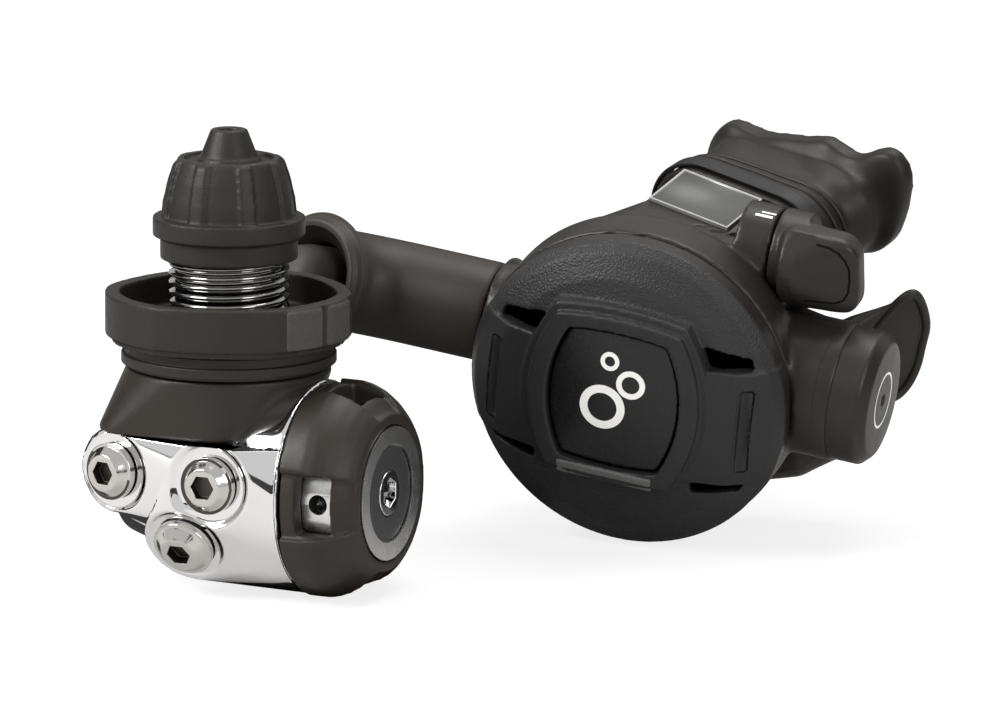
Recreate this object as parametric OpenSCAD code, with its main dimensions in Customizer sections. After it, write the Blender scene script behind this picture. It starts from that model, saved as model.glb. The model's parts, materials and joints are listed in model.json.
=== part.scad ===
// Scuba regulator set: a first stage with its tank connector, a short hose and a second stage.
// Millimetres. Z is up the tank connector's axis and z = 0 is the surface that the set rests on.
// X runs along the first stage's barrel towards its spring cap.

/* [First stage body] */
// Height of the barrel's axis above the surface
axis_h = 20.2; // [19.9:0.1:20.3]
// Radius of the barrel
barrel_r = 20.4; // [20.38:0.01:20.6]
// Radius of the barrel where it meets the narrow end
barrel_back_r = 16.8; // [16:0.1:18]
// Start of the barrel, from the connector's axis
barrel_x0 = -9.5; // [-10.5:0.5:-8.5]
// End of the barrel, where the spring cap screws in
barrel_x1 = 20; // [18:0.5:22]
// Radius of the narrow end of the body
nose_r = 15; // [13:0.5:16]
// Length of the narrow end
nose_l = 9.5; // [8.5:0.5:11]
// Radius of the neck under the connector
neck_r = 13; // [11:0.5:14]
// Height of the neck above the axis
neck_h = 22; // [21:0.5:23]
// Radius of the diaphragm chamber
chamber_r = 16; // [15:0.5:16.5]
// Depth of the diaphragm chamber
chamber_l = 8; // [7.5:0.1:8.2]

/* [Ports] */
// Height of the front ports above the axis
port_z = 3; // [2:0.5:4]
// Place of the middle port along the barrel
mid_port_x = 6.8; // [6:0.2:8]
// Place of the end port along the barrel
end_port_x = -11.5; // [-12.5:0.5:-11]
// Turn of the end port towards the narrow end
end_port_turn = 12; // [6:1:16]
// Drop of the lower port below the horizontal
low_port_drop = 28; // [26:1:32]
// Place of the hose port along the barrel
hose_port_x = -6; // [-7:0.5:-5]
// Distance from the axis to a boss face
boss_reach = 21; // [20.8:0.1:22]
// Radius of a boss
boss_r = 8.4; // [8:0.1:9]
// Radius of a low pressure plug's thread
plug_thread_r = 4.6; // [4:0.1:5]
// Radius of a plug's head
plug_head_r = 5.4; // [5:0.1:6]
// Thread length of a plug
plug_thread_l = 6; // [5:0.5:7]
// Width across the hex socket's corners
plug_socket_r = 2.4; // [2:0.1:2.8]

/* [Tank connector] */
// Radius of the connector's thread
thread_r = 11.45; // [11.3:0.05:11.6]
// Length of the thread above the wheel's floor
thread_l = 20; // [18:0.5:22]
// Radius of the fixed stem
stem_r = 7; // [6.5:0.1:7.4]
// Radius of the stem's gas way
gas_r = 2.5; // [2:0.1:3]
// Running clearance round the stem
stem_gap = 0.08; // [0.05:0.01:0.1]
// Radius of the hand wheel
wheel_r = 23.4; // [22:0.1:25]
// Height of the wheel's underside above the axis
wheel_z = 26.6; // [26.5:0.1:27.5]
// Height of the wheel
wheel_h = 9.4; // [8.5:0.1:10]
// Wall of the wheel's cup
wheel_wall = 2.8; // [2.2:0.1:3.4]
// Thickness of the wheel's floor
wheel_floor = 3.4; // [3:0.1:4.5]
// How far a grip pad stands out
pad_out = 0.7; // [0.4:0.1:1]
// Radius of the stepped collar under the wheel
collar_r = 20.4; // [19:0.1:21]
// Radius of the shroud where it meets the collar
shroud_top_r = 19.4; // [18:0.1:20]

/* [Dust cap] */
// Height of the cap's lower edge above the axis
cap_z = 42.2; // [41:0.1:43.5]
// Radius of the skirt
cap_skirt_r = 13; // [12.9:0.1:13.5]
// Radius of the flange
cap_flange_r = 14.4; // [14:0.1:15]
// Radius of the dome's foot
cap_dome_r = 13.2; // [12.9:0.1:13.6]
// Radius of the dome's top rim
cap_top_r = 9.8; // [9:0.1:10.5]
// Height of the dome above the skirt's edge
cap_dome_h = 19.2; // [18.5:0.1:20]
// Height of the whole cap
cap_h = 24.6; // [24:0.1:26]
// Number of ribs round the dome
cap_ribs = 8; // [6:1:10]
// Clearance round the thread
cap_gap = 0.35; // [0.3:0.05:0.5]

/* [Spring end] */
// Radius of the rubber bumper
bumper_r = 20.8; // [20.7:0.1:21]
// Start of the bumper along the barrel
bumper_x0 = 20.3; // [20.3:0.1:21]
// End of the bumper
bumper_x1 = 34; // [33:0.1:35]
// Wall of the bumper
bumper_wall = 3; // [2.6:0.1:3.2]
// Radius of the bumper's mouth
bumper_mouth_r = 13.1; // [13:0.1:13.6]
// Radius of the chrome spring cap
spring_cap_r = 12.7; // [12.2:0.1:12.8]
// Radius of the dark plate in the spring cap
plate_r = 9; // [8:0.1:9.6]
// Radius of the adjusting screw
adjuster_r = 4.3; // [4:0.1:4.6]

/* [Second stage] */
// Radius of the front cover
cover_r = 31.8; // [31:0.1:32.4]
// Depth of the cover's rim
cover_rim = 4; // [3:0.1:5]
// How far the bezel's face stands before the rim
bezel_y = 14; // [13:0.1:15]
// Wall of the housing and the cover
shell = 2.2; // [1.8:0.1:2.6]
// Depth of the housing behind the rim
housing_d = 22; // [20:0.5:24]
// Distance of the valve barrel's axis behind the rim
valve_y = 12; // [11.5:0.1:12.5]
// Height of the valve barrel's axis above the cover's centre
valve_z = 2.5; // [2:0.1:3]
// Radius of the moulded barrel round the valve
boss2_r = 13.6; // [13:0.1:14]
// Length of the moulded barrel to the right
boss2_x = 37; // [36:0.5:38]
// Length of the end cap
end_cap_l = 9.5; // [8:0.1:10]
// Radius of the end cap
end_cap_r = 13.2; // [12.6:0.1:13.6]
// Travel of the purge button
purge_travel = 3; // [2:0.1:3.2]
// Gap round the purge button
purge_gap = 0.5; // [0.4:0.05:0.7]

/* [Hose] */
// Radius of the hose
hose_r = 6; // [5.5:0.1:6.2]
// Radius of the rubber sleeve
sleeve_r = 10; // [9.4:0.1:10.4]
// Radius of the sleeve's flared mouth
mouth_r = 11.7; // [11:0.1:12]
// Bend radius of the sleeve
sleeve_bend = 18; // [17:0.5:19]
// Radius of the sleeve's bore
sleeve_bore = 6.8; // [6.6:0.1:7]

/* [Hidden] */
$fn = 72;
gap = 0.3;
floor_z = wheel_z + wheel_floor;
thread_top = floor_z + thread_l;
stem_top = thread_top - 2;
collar_h = wheel_z - gap - neck_h;
end_reach = boss_reach - 3;
chamber_x = barrel_x1 - chamber_l;
hose_port_rise = 32;
rear_port_x = -4;
rear_port_drop = 60;
rear_reach = 17.65;
fitting_nut_l = 7;
ferrule_l = 9;
second_pos = [56.7, 61.8, 32.1];
second_turn = 27;
second_lean = 14;
second_yaw = -22;
second_roll = 3.5;
valve_bore = 3.6;
inlet_x = -33;
nose_taper = 3;
valve_x0 = barrel_x0 - 4;
valve_way_r = 4.4;
stem_seat = 5;
lead_in = 1.1;
filter_l = 8;
filter_r = 4.5;
seal_r = 5.8;
shroud_x0 = -13.5;
shroud_x1 = 4.5;
shroud_y = 13;
shroud_z = 10.3;
shroud_corner = 6.5;
wheel_face = -73;
flat_r = 34;
flat_in = 0.9;
wheel_foot = 1.2;
pad_turns = [47, 71];
pad_width = 20;
cap_skirt_h = 4.3;
cap_flange_h = 3.7;
panel_depth = 0.7;
rib_span = 14;
cap_turn = -9;
tip_foot_r = 5.9;
tip_r = 3.4;
tip_hole_r = 1.9;
bumper_l = bumper_x1 - bumper_x0;
channel_depth = 1.2;
channel_span = 36;
window_turn = 0;
window_w = 11;
window_z = 3;
window_h = 6.5;
spring_body_r = bumper_r - bumper_wall - 2;
spring_body_l = 10.5;
spring_cap_l = 14.2;
spring_bore_r = 9.5;
cap_thread_l = 6.1;
water_r = 1.9;
plate_sink = 1.5;
plate_t = 1.1;
adjuster_l = 8;
diaphragm_t = 1.2;
pad_x = chamber_x + 1.85;
spring_seat_x = barrel_x1 + spring_cap_l - 2.5;
main_spring_r = 7.5;
spring_wire = 1;
poppet_x0 = -3;
poppet_x1 = 4;
seal_t = 0.4;
cover_top = 12;
button_z = 2.4;
button_w = 26;
button_h = 28;
button_side_r = 28;
button_top_r = 60;
bezel_w = 38;
bezel_h = 38;
bezel_side_r = 30;
bezel_top_r = 70;
button_back = 6.2;
band_h = 24;
slot_x = 25.5;
slot_w = 2.2;
slot_h = 17;
vent_in = cover_r - 15.8;
vent_out = cover_r - 5.8;
vent_y = band_h / 2;
vent_top = [[vent_in, vent_y], [vent_out, vent_y], [vent_out - 1, vent_y + 2.4], [vent_in, vent_y + 4.2]];
vent_low = [[vent_in, -vent_y], [vent_out, -vent_y], [vent_out - 1, -vent_y - 1.8], [vent_in, -vent_y - 3.2]];
plate_top = -0.5;
disc_r = 12;
housing_r = cover_r + 0.4;
valve_tube_r = 5;
tube_x0 = -31;
tube_x1 = 36;
inlet_r = 10.5;
mouth_x = 3;
mouth_z = 17;
mouth_turn = 18;
mouth_rise = 6;
neck_sep = 7.5;
socket_r = 9.5;
neck_l = 22;
mouth_twist = 0.028;
hub_x = 21.5;
hub_y = 18;
hub_z = 26.3;
hub_r = 8.6;
pivot_r = 3;
vane_r = 0.9;
plate_x = -11.5;
plate_w = 19;
plate_z = 10.45;
swing_r = 11;
paddle_corners = [[26, 5], [34.8, 5], [35.8, -4.5], [27, -5]];
paddle_round = 3;
exhaust_z = -15;
exhaust_r = 10;
exhaust_y = 22.6;
sleeve_x = -50;
sleeve_tilt = 24;
nut_l = 7;
sleeve_turn = 68;
seat_x = tube_x0 + 5;
poppet_disc_x = 11.1;
spring_plug_x = tube_x1 - 8;
// Centre line of the hose, from the first stage's port to the second stage's nut
hose_route = [[-6, 25.5, 36.2], [-6, 28.4, 38], [-6, 31.4, 39.8], [-6.3, 34.5, 42], [-6.9, 37.2, 44.3],
    [-7.7, 39.8, 46.5], [-8.5, 42.3, 48.4], [-9, 45, 49.8], [-9.1, 48, 50.4], [-8.6, 51.3, 50.1],
    [-7.8, 54.6, 49.3], [-5.7, 59.4, 48], [-2.4, 63.3, 46.8], [2, 66.1, 45.6], [7.1, 67.4, 44.7],
    [11.8, 68, 44], [16.4, 68.5, 43.3]];

module first_frame() translate([0, 0, axis_h]) children();
module second_frame() translate(second_pos) rotate([0, 0, second_turn]) rotate([second_lean, 0, 0])
    rotate([0, 0, second_yaw]) rotate([0, second_roll, 0]) children();
module along_x() rotate([0, 90, 0]) children();
module along_y() rotate([-90, 0, 0]) children();
module tube(r_out, r_in, h) difference() {
    cylinder(r = r_out, h = h);
    translate([0, 0, -1]) cylinder(r = r_in, h = h + 2);
}
module ring_seal(r, wire) rotate_extrude() translate([r, 0]) circle(r = wire, $fn = 24);

// Frames on each port's face, whose z axis points out of it
module end_port(side, reach = end_reach) translate([end_port_x, 0, port_z])
    rotate([0, 0, -side * end_port_turn]) rotate([side * 90, 0, 0]) translate([0, 0, reach]) children();
module mid_port(reach = boss_reach) translate([mid_port_x, 0, port_z]) rotate([90, 0, 0])
    translate([0, 0, reach]) children();
module low_port(reach = boss_reach - 0.8) rotate([90 + low_port_drop, 0, 0]) translate([0, 0, reach]) children();
module rear_port() translate([rear_port_x, 0, 0]) rotate([-90 - rear_port_drop, 0, 0])
    translate([0, 0, rear_reach]) children();
module hose_port(reach = boss_reach) translate([hose_port_x, 0, 0]) rotate([hose_port_rise - 90, 0, 0])
    translate([0, 0, reach]) children();
module lp_ports() {
    end_port(1) children();
    end_port(-1) children();
    mid_port() children();
}
module high_ports() {
    low_port() children();
    rear_port() children();
}

// A coil spring along z as one swept tube, with its wire radius, coil radius and number of turns
function coil_ring(t, r, wire, turns, h, sides) = [for (s = [0:sides - 1])
    let (a = 360 * turns * t, b = 360 * s / sides, q = r + wire * cos(b))
    [q * cos(a), q * sin(a), h * t + wire * sin(b)]];
module coil(r, wire, turns, h) {
    steps = 8 * turns;
    skin([for (i = [0:steps]) coil_ring(i / steps, r, wire, turns, h - 2 * wire, 6)]);
}
// A solid skin over rings of points, closed at both ends
module skin(rings) {
    n = len(rings);
    k = len(rings[0]);
    side = [for (i = [0:n - 2], j = [0:k - 1], f = [0, 1]) let (m = (j + 1) % k)
        f == 0 ? [i * k + j, i * k + m, (i + 1) * k + m] : [i * k + j, (i + 1) * k + m, (i + 1) * k + j]];
    first = [for (j = [1:k - 2]) [0, j + 1, j]];
    last = [for (j = [1:k - 2]) [(n - 1) * k, (n - 1) * k + j, (n - 1) * k + j + 1]];
    polyhedron([for (r = rings) each r], concat(side, first, last));
}
// A wall over rings of points that run out along the outside and back along the inside
module wall_skin(rings) {
    n = len(rings);
    k = len(rings[0]);
    polyhedron([for (r = rings) each r], [for (i = [0:n - 1], j = [0:k - 1], f = [0, 1])
        let (m = (j + 1) % k, q = (i + 1) % n)
        f == 0 ? [i * k + j, i * k + m, q * k + m] : [i * k + j, q * k + m, q * k + j]]);
}

// First stage
module boss(r, reach) translate([0, 0, -reach]) cylinder(r = r, h = reach);
module body_outline(g = 0) {
    along_x() translate([0, 0, barrel_x0]) cylinder(r1 = barrel_back_r + g, r2 = barrel_r + g,
        h = barrel_x1 - barrel_x0);
    along_x() translate([0, 0, barrel_x0 - nose_l])
        cylinder(r1 = nose_r - nose_taper + g, r2 = nose_r + g, h = nose_l);
    cylinder(r = neck_r + g, h = neck_h);
    end_port(1) boss(boss_r + g, end_reach);
    end_port(-1) boss(boss_r + g, end_reach);
    mid_port() boss(boss_r + g, boss_reach);
    low_port() boss(boss_r + g, boss_reach - 0.8);
    rear_port() boss(boss_r - 1 + g, rear_reach);
    hose_port() boss(boss_r + g, boss_reach);
}
module plug_hole() translate([0, 0, -plug_thread_l - 0.5]) cylinder(r = plug_thread_r, h = plug_thread_l + 9);
module first_stage_body() color("silver") first_frame() difference() {
    body_outline();
    translate([-60, -60, -axis_h - 20]) cube([120, 120, 20]);
    along_x() translate([0, 0, chamber_x]) cylinder(r = chamber_r, h = chamber_l + 1);
    along_x() translate([0, 0, valve_x0]) cylinder(r = valve_way_r, h = chamber_x - valve_x0 + 1);
    cylinder(r = gas_r, h = neck_h + 1);
    translate([0, 0, neck_h - stem_seat]) cylinder(r = stem_r, h = stem_seat + 1);
    lp_ports() plug_hole();
    high_ports() plug_hole();
    hose_port() plug_hole();
    lp_ports() cylinder(r = plug_head_r + 0.3, h = 8);
    high_ports() cylinder(r = plug_head_r + 0.8, h = 8);
}
// Rubber shroud over the body's top, from the collar down to the ports
module top_shroud() color("#1b1b1b") first_frame() difference() {
    hull() {
        translate([0, 0, neck_h - 1.5]) cylinder(r = shroud_top_r, h = 1.2, $fn = 48);
        for (x = [shroud_x0, shroud_x1], y = [-1, 1])
            translate([x, y * shroud_y, shroud_z]) cylinder(r = shroud_corner, h = 1, $fn = 24);
    }
    body_outline(gap);
    hose_port(8) cylinder(r = boss_r + 1, h = 30);
    along_x() translate([0, 0, bumper_x0 - 0.6]) cylinder(r = bumper_r + gap, h = 20);
}
module swivel_collar() color("#222222") first_frame() translate([0, 0, neck_h]) difference() {
    union() {
        cylinder(r = collar_r - 0.8, h = collar_h);
        translate([0, 0, 0.5]) cylinder(r = collar_r, h = collar_h * 0.45);
    }
    translate([0, 0, -1]) cylinder(r = stem_r, h = collar_h + 2);
}
module din_stem() color("silver") first_frame() difference() {
    union() {
        translate([0, 0, neck_h - stem_seat]) cylinder(r = stem_r, h = stem_top - neck_h + stem_seat);
        translate([0, 0, floor_z + gap]) cylinder(r = stem_r + 1, h = 1.6);
    }
    translate([0, 0, neck_h - stem_seat - 1]) cylinder(r = gas_r, h = stem_top);
    translate([0, 0, stem_top - filter_l]) cylinder(r = filter_r, h = filter_l + 1);
    translate([0, 0, stem_top]) ring_seal(seal_r, 1);
}
module inlet_filter() color("#8a6a3a") first_frame() translate([0, 0, stem_top - filter_l])
    cylinder(r1 = filter_r, r2 = filter_r - 1.2, h = filter_l - 0.5);
module din_seal() color("#111111") first_frame() translate([0, 0, stem_top]) ring_seal(seal_r, 1);
module din_thread() color("silver") first_frame() difference() {
    union() {
        translate([0, 0, floor_z]) cylinder(r = thread_r, h = cap_z - gap - floor_z);
        translate([0, 0, floor_z]) cylinder(r = thread_r - lead_in, h = thread_l);
        translate([0, 0, wheel_z + 0.6]) cylinder(r = thread_r - 1.5, h = wheel_floor);
    }
    translate([0, 0, wheel_z]) cylinder(r = stem_r + stem_gap, h = 40);
    translate([0, 0, floor_z]) cylinder(r = stem_r + 1 + gap, h = 40);
}
module wheel_plan(inset = 0) intersection() {
    circle(r = wheel_r - inset);
    intersection_for (a = [0, 120, 240]) rotate(wheel_face + a)
        translate([wheel_r - flat_in - flat_r, 0]) circle(r = flat_r - inset);
}
// One sector of a ring, centred on the angle a
module sector(r0, r1, h, a, width) rotate(a - width / 2) rotate_extrude(angle = width)
    translate([r0, 0]) square([r1 - r0, h]);
module handwheel() color("#1d1d1d") first_frame() translate([0, 0, wheel_z]) difference() {
    union() {
        translate([0, 0, wheel_foot]) linear_extrude(wheel_h - wheel_foot) wheel_plan();
        linear_extrude(wheel_foot + 0.01) wheel_plan(wheel_foot);
        for (a = [0, 180], b = pad_turns) translate([0, 0, wheel_foot + 0.4])
            sector(wheel_r - 2, wheel_r + pad_out, wheel_h - wheel_foot - 1, wheel_face + a + b, pad_width);
    }
    translate([0, 0, wheel_floor]) linear_extrude(wheel_h) wheel_plan(wheel_wall);
    translate([0, 0, -1]) cylinder(r = thread_r - 1.5, h = wheel_h);
}
// Dust cap, as a revolved profile whose ribs stand out from its panels
function cap_profile(d) = [[0, cap_skirt_h + 3], [cap_dome_r - d, cap_skirt_h + 3],
    [cap_dome_r - 0.5 - d, cap_skirt_h + 7], [cap_dome_r - 1.4 - d, cap_dome_h - 4],
    [cap_top_r + 0.9 - d, cap_dome_h - 0.8], [cap_top_r - d * 0.4, cap_dome_h], [0, cap_dome_h]];
module dust_cap() color("#1c1c1c") first_frame() translate([0, 0, cap_z]) difference() {
    union() {
        cylinder(r = cap_skirt_r, h = cap_skirt_h);
        translate([0, 0, cap_skirt_h]) cylinder(r = cap_flange_r, h = cap_flange_h);
        rotate_extrude() polygon(cap_profile(panel_depth));
        for (i = [0:cap_ribs - 1]) rotate(360 / cap_ribs * i + cap_turn) rotate_extrude(angle = rib_span)
            polygon(cap_profile(0));
        translate([0, 0, cap_dome_h - 1]) cylinder(r1 = tip_foot_r, r2 = tip_r, h = cap_h - cap_dome_h + 1);
    }
    translate([0, 0, -1]) cylinder(r = thread_r - lead_in + cap_gap, h = thread_top - cap_z + 1 + gap);
    translate([0, 0, cap_h - 2]) cylinder(r = tip_hole_r, h = 3);
    translate([0, 0, cap_dome_h - 0.9]) difference() {
        cylinder(r = cap_top_r - 1.4, h = 2);
        translate([0, 0, -1]) cylinder(r1 = tip_foot_r + 0.5, r2 = tip_foot_r - 0.6, h = 4);
    }
}
// Rubber bumper round the spring cap, in four pads with a water window between each two
module bumper_form(d) rotate_extrude() polygon([[0, 0], [bumper_r - d, 0], [bumper_r - d, 4.5],
    [bumper_r - 0.4 - d, 6.6], [bumper_r - 1.2 - d, 8.6], [bumper_r - 2.5 - d, 10.6], [bumper_r - 4.2 - d, 12.4],
    [bumper_mouth_r + 1.8, bumper_l], [0, bumper_l]]);
module bumper() color("#1a1a1a") first_frame() difference() {
    translate([bumper_x0, 0, 0]) along_x() difference() {
        union() {
            bumper_form(channel_depth);
            intersection() {
                bumper_form(0);
                for (a = [0:90:270]) rotate(a + window_turn + 45)
                    sector(0.1, bumper_r + 1, bumper_l, 0, 90 - channel_span);
            }
        }
        translate([0, 0, -1]) cylinder(r = spring_cap_r + 0.2, h = bumper_l + 2);
        translate([0, 0, -1]) cylinder(r = spring_body_r + 0.2, h = spring_body_l + 1.2);
        for (a = [0:90:270]) rotate(a + window_turn) translate([0, -window_w / 2, window_z])
            cube([bumper_r + 1, window_w, window_h]);
    }
    translate([-60, -60, -axis_h - 20]) cube([120, 120, 20]);
}
// Chrome spring cap with water holes, screwed into the barrel
module spring_cap() color("silver") first_frame() translate([barrel_x1, 0, 0]) along_x() difference() {
    union() {
        translate([0, 0, -cap_thread_l]) cylinder(r = chamber_r, h = cap_thread_l);
        cylinder(r = spring_body_r, h = bumper_x0 - barrel_x1 + spring_body_l);
        cylinder(r = spring_cap_r, h = spring_cap_l);
    }
    translate([0, 0, -cap_thread_l - 1]) cylinder(r = spring_bore_r, h = spring_cap_l + cap_thread_l - 1.5);
    translate([0, 0, spring_cap_l - plate_sink]) cylinder(r = plate_r + 0.4, h = 5);
    cylinder(r = adjuster_r, h = spring_cap_l);
    for (a = [0:90:270]) rotate(a + window_turn) translate([0, 0, window_z + window_h / 2 + bumper_x0 - barrel_x1])
        along_x() cylinder(r = water_r, h = 30);
}
module end_plate() color("#3c3c3e") first_frame() translate([barrel_x1 + spring_cap_l - plate_sink, 0, 0])
    along_x() tube(plate_r, adjuster_r + 0.2, plate_t);
module adjuster() color("silver") first_frame() translate([barrel_x1 + spring_cap_l - adjuster_l, 0, 0]) along_x()
    difference() {
        cylinder(r = adjuster_r, h = adjuster_l - 0.3);
        translate([0, 0, adjuster_l - 3.5]) cylinder(r = 2.9, h = 5, $fn = 6);
    }
module diaphragm() color("#2a2a2a") first_frame() translate([chamber_x + 0.6, 0, 0]) along_x() union() {
    cylinder(r = chamber_r - 0.1, h = diaphragm_t);
}
module spring_pad() color("#b8903a") first_frame() translate([pad_x, 0, 0]) along_x() union() {
    cylinder(r = 9, h = 1.2);
    cylinder(r = 4.6, h = 2.6);
}
module main_spring() color("#8d8d90") first_frame() translate([pad_x + 1.35 + spring_wire, 0, 0]) along_x()
    coil(main_spring_r, spring_wire, 5, spring_seat_x - pad_x - 1.5);
module push_pin() color("silver") first_frame() translate([poppet_x1, 0, 0]) along_x()
    cylinder(r = 1, h = chamber_x + 0.45 - poppet_x1);
module high_poppet() color("#c9c9cc") first_frame() translate([poppet_x0, 0, 0]) along_x()
    cylinder(r = valve_way_r - 1.2, h = poppet_x1 - poppet_x0 - 0.05);
module valve_seat() color("#b8903a") first_frame() translate([poppet_x1 + 0.05, 0, 0]) along_x()
    tube(valve_way_r, 1.3, 3);
module high_spring() color("#8d8d90") first_frame() translate([valve_x0 + 0.1 + 0.45, 0, 0]) along_x()
    coil(2.2, 0.45, 6, poppet_x0 - valve_x0 - 0.2);
// A domed plug with a hex socket, on its port's face
module plug(head) union() {
    difference() {
        union() {
            translate([0, 0, seal_t]) cylinder(r = head, h = 1.4);
            translate([0, 0, seal_t + 1.4]) cylinder(r1 = head - 0.6, r2 = plug_socket_r + 1.1, h = 1.8);
        }
        translate([0, 0, 1.6]) cylinder(r = plug_socket_r, h = 5, $fn = 6);
    }
    translate([0, 0, -plug_thread_l]) cylinder(r = plug_thread_r, h = plug_thread_l + seal_t);
}
module lp_plugs() color("silver") first_frame() lp_ports() plug(plug_head_r);
module high_plugs() color("silver") first_frame() high_ports() plug(plug_head_r + 0.5);
module plug_seal(head) tube(head - 0.3, plug_thread_r, seal_t);
module plug_seals() color("#111111") first_frame() {
    lp_ports() plug_seal(plug_head_r);
    high_ports() plug_seal(plug_head_r + 0.5);
}
// Second stage. Its x axis runs along the valve barrel, y points to the mouthpiece and z is up.
module facing() rotate([90, 0, 0]) children();
module on_valve(x) translate([x, valve_y, valve_z]) along_x() children();
// A plan with four bowed sides
module bowed(w, h, side_r, top_r) intersection() {
    translate([w / 2 - side_r, 0]) circle(r = side_r);
    translate([side_r - w / 2, 0]) circle(r = side_r);
    translate([0, h / 2 - top_r]) circle(r = top_r);
    translate([0, top_r - h / 2]) circle(r = top_r);
}
module cover_form(d, top) rotate_extrude() polygon([[0, -1], [cover_r + d, -1], [cover_r + d, cover_rim],
    [cover_r - 1.6 + d, cover_rim + 2.4], [cover_r - 6, top - 3], [cover_r - 13, top - 1], [0, top]]);
module button_hole() translate([0, button_z, 0]) linear_extrude(40) bowed(button_w + 2 * purge_gap,
    button_h + 2 * purge_gap, button_side_r, button_top_r);
module front_cover() color("#1c1c1d") second_frame() facing() difference() {
    union() {
        difference() {
            union() {
                intersection() {
                    cover_form(0, cover_top);
                    cylinder(r = cover_r + 1, h = 40);
                }
                intersection() {
                    cover_form(0.4, cover_top + 1.4);
                    translate([-60, -band_h / 2, 0]) cube([120, band_h, 40]);
                }
            }
            for (s = [0, 1]) mirror([s, 0, 0]) linear_extrude(30) {
                polygon(vent_top);
                polygon(vent_low);
            }
        }
        translate([0, button_z, cover_top - 5]) linear_extrude(bezel_y - cover_top + 3.6)
            bowed(bezel_w, bezel_h, bezel_side_r, bezel_top_r);
        translate([0, button_z, cover_top - 5]) linear_extrude(bezel_y - cover_top + 5)
            bowed(bezel_w - 3.4, bezel_h - 3.4, bezel_side_r, bezel_top_r);
    }
    translate([0, 0, -1]) cylinder(r = cover_r - shell, h = cover_rim + 1);
    translate([0, 0, cover_rim - 0.1]) cylinder(r1 = cover_r - shell, r2 = cover_r - 9, h = cover_top - cover_rim - 3.5);
    button_hole();
    for (s = [-1, 1]) translate([s * slot_x - slot_w / 2, -slot_h / 2, cover_top - 2.8]) cube([slot_w, slot_h, 6]);
}
module purge_button() color("#202021") second_frame() facing() translate([0, button_z, 0]) union() {
    translate([0, 0, button_back]) linear_extrude(bezel_y - 1.2 - button_back)
        bowed(button_w, button_h, button_side_r, button_top_r);
    translate([0, 0, button_back - 1.2]) linear_extrude(1.21)
        bowed(button_w + 3, button_h + 3, button_side_r, button_top_r);
    translate([0, -button_z, plate_top + gap]) cylinder(r = 2.5, h = button_back - plate_top - gap);
}
module purge_spring() color("#8d8d90") second_frame() facing() translate([0, 0, plate_top + 0.1 + 0.35])
    coil(5, 0.35, 3, button_back - 1.3 - plate_top - 0.1);
module diaphragm_plate() color("#c9c9cc") second_frame() facing() translate([0, 0, plate_top - 0.8])
    cylinder(r = disc_r, h = 0.8);
module demand_diaphragm() color("#2b2b2b") second_frame() facing() {
    translate([0, 0, -1.9]) tube(housing_r - shell - 0.15, housing_r - shell - 2.4, 1.9);
    translate([0, 0, -1.4]) tube(housing_r - shell - 2.3, disc_r + gap, 0.9);
}
// Demand lever, whose foot pushes the poppet off its seat when the plate presses its tip
module lever_plan() polygon([[11.5, 6.1], [10.2, 7], [10.8, 9], [9.8, 9], [8.2, 7.6], [6.6, 5.9], [-1.8, 2.5],
    [-4, 2.4], [-4, 1.6], [-3.2, 1.7], [7.4, 5], [8.6, 6.1]]);
module demand_lever() color("silver") second_frame() union() {
    translate([0, 0, valve_z - 2.5]) linear_extrude(5) lever_plan();
    translate([10, 6.2, valve_z - 2.9]) cylinder(r = 0.8, h = 5.8, $fn = 24);
}
module valve_tube() color("silver") second_frame() difference() {
    on_valve(tube_x0) tube(valve_tube_r, valve_bore, tube_x1 - tube_x0);
    translate([-0.5, -10, valve_z - 3.2]) cube([14, 10 + valve_y - valve_bore + 1.4, 6.4]);
}
module poppet() color("#c9c9cc") second_frame() {
    on_valve(seat_x + 0.1) cylinder(r = valve_bore - 0.05, h = 6);
    on_valve(seat_x + 0.1) cylinder(r = 1.4, h = poppet_disc_x - seat_x + 8);
    on_valve(poppet_disc_x) cylinder(r = valve_bore - 0.05, h = 1.5);
}
module poppet_spring() color("#8d8d90") second_frame() on_valve(poppet_disc_x + 1.6 + 0.4)
    coil(2.5, 0.4, 7, spring_plug_x - poppet_disc_x - 1.7);
module valve_orifice() color("#b8903a") second_frame() on_valve(tube_x0) tube(valve_bore, 1.6, seat_x - tube_x0);
module spring_plug() color("#b8903a") second_frame() on_valve(spring_plug_x) tube(valve_bore, 1.7, 5);
// Outline of the housing, before its hollow is cut
module housing_profile(d) polygon([[0, 0], [housing_r + d, 0], [housing_r + d, 9], [housing_r - 2.8 + d, 14],
    [housing_r - 8.8 + d, 18.6], [housing_r - 19 + d, housing_d + d], [0, housing_d + d]]);
module stadium(sep, r) {
    translate([sep, 0]) circle(r = r);
    translate([-sep, 0]) circle(r = r);
    translate([-sep, -r]) square([2 * sep, 2 * r]);
}
module mouth_frame() translate([mouth_x, 20, mouth_z]) rotate([0, 0, -mouth_turn]) rotate([mouth_rise, 0, 0])
    children();
module slab(y, sep, r) translate([0, y, 0]) along_y() for (s = [-1, 1]) translate([s * sep, 0, 0])
    cylinder(r = r, h = 0.4, $fn = 32);
module neck_form(d) mouth_frame() {
    hull() {
        slab(-10, 10 , 11.6 - d);
        slab(12, neck_sep, socket_r - d);
    }
    translate([0, 12, 0]) along_y() linear_extrude(neck_l - 12) stadium(neck_sep, socket_r - d);
}
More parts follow.
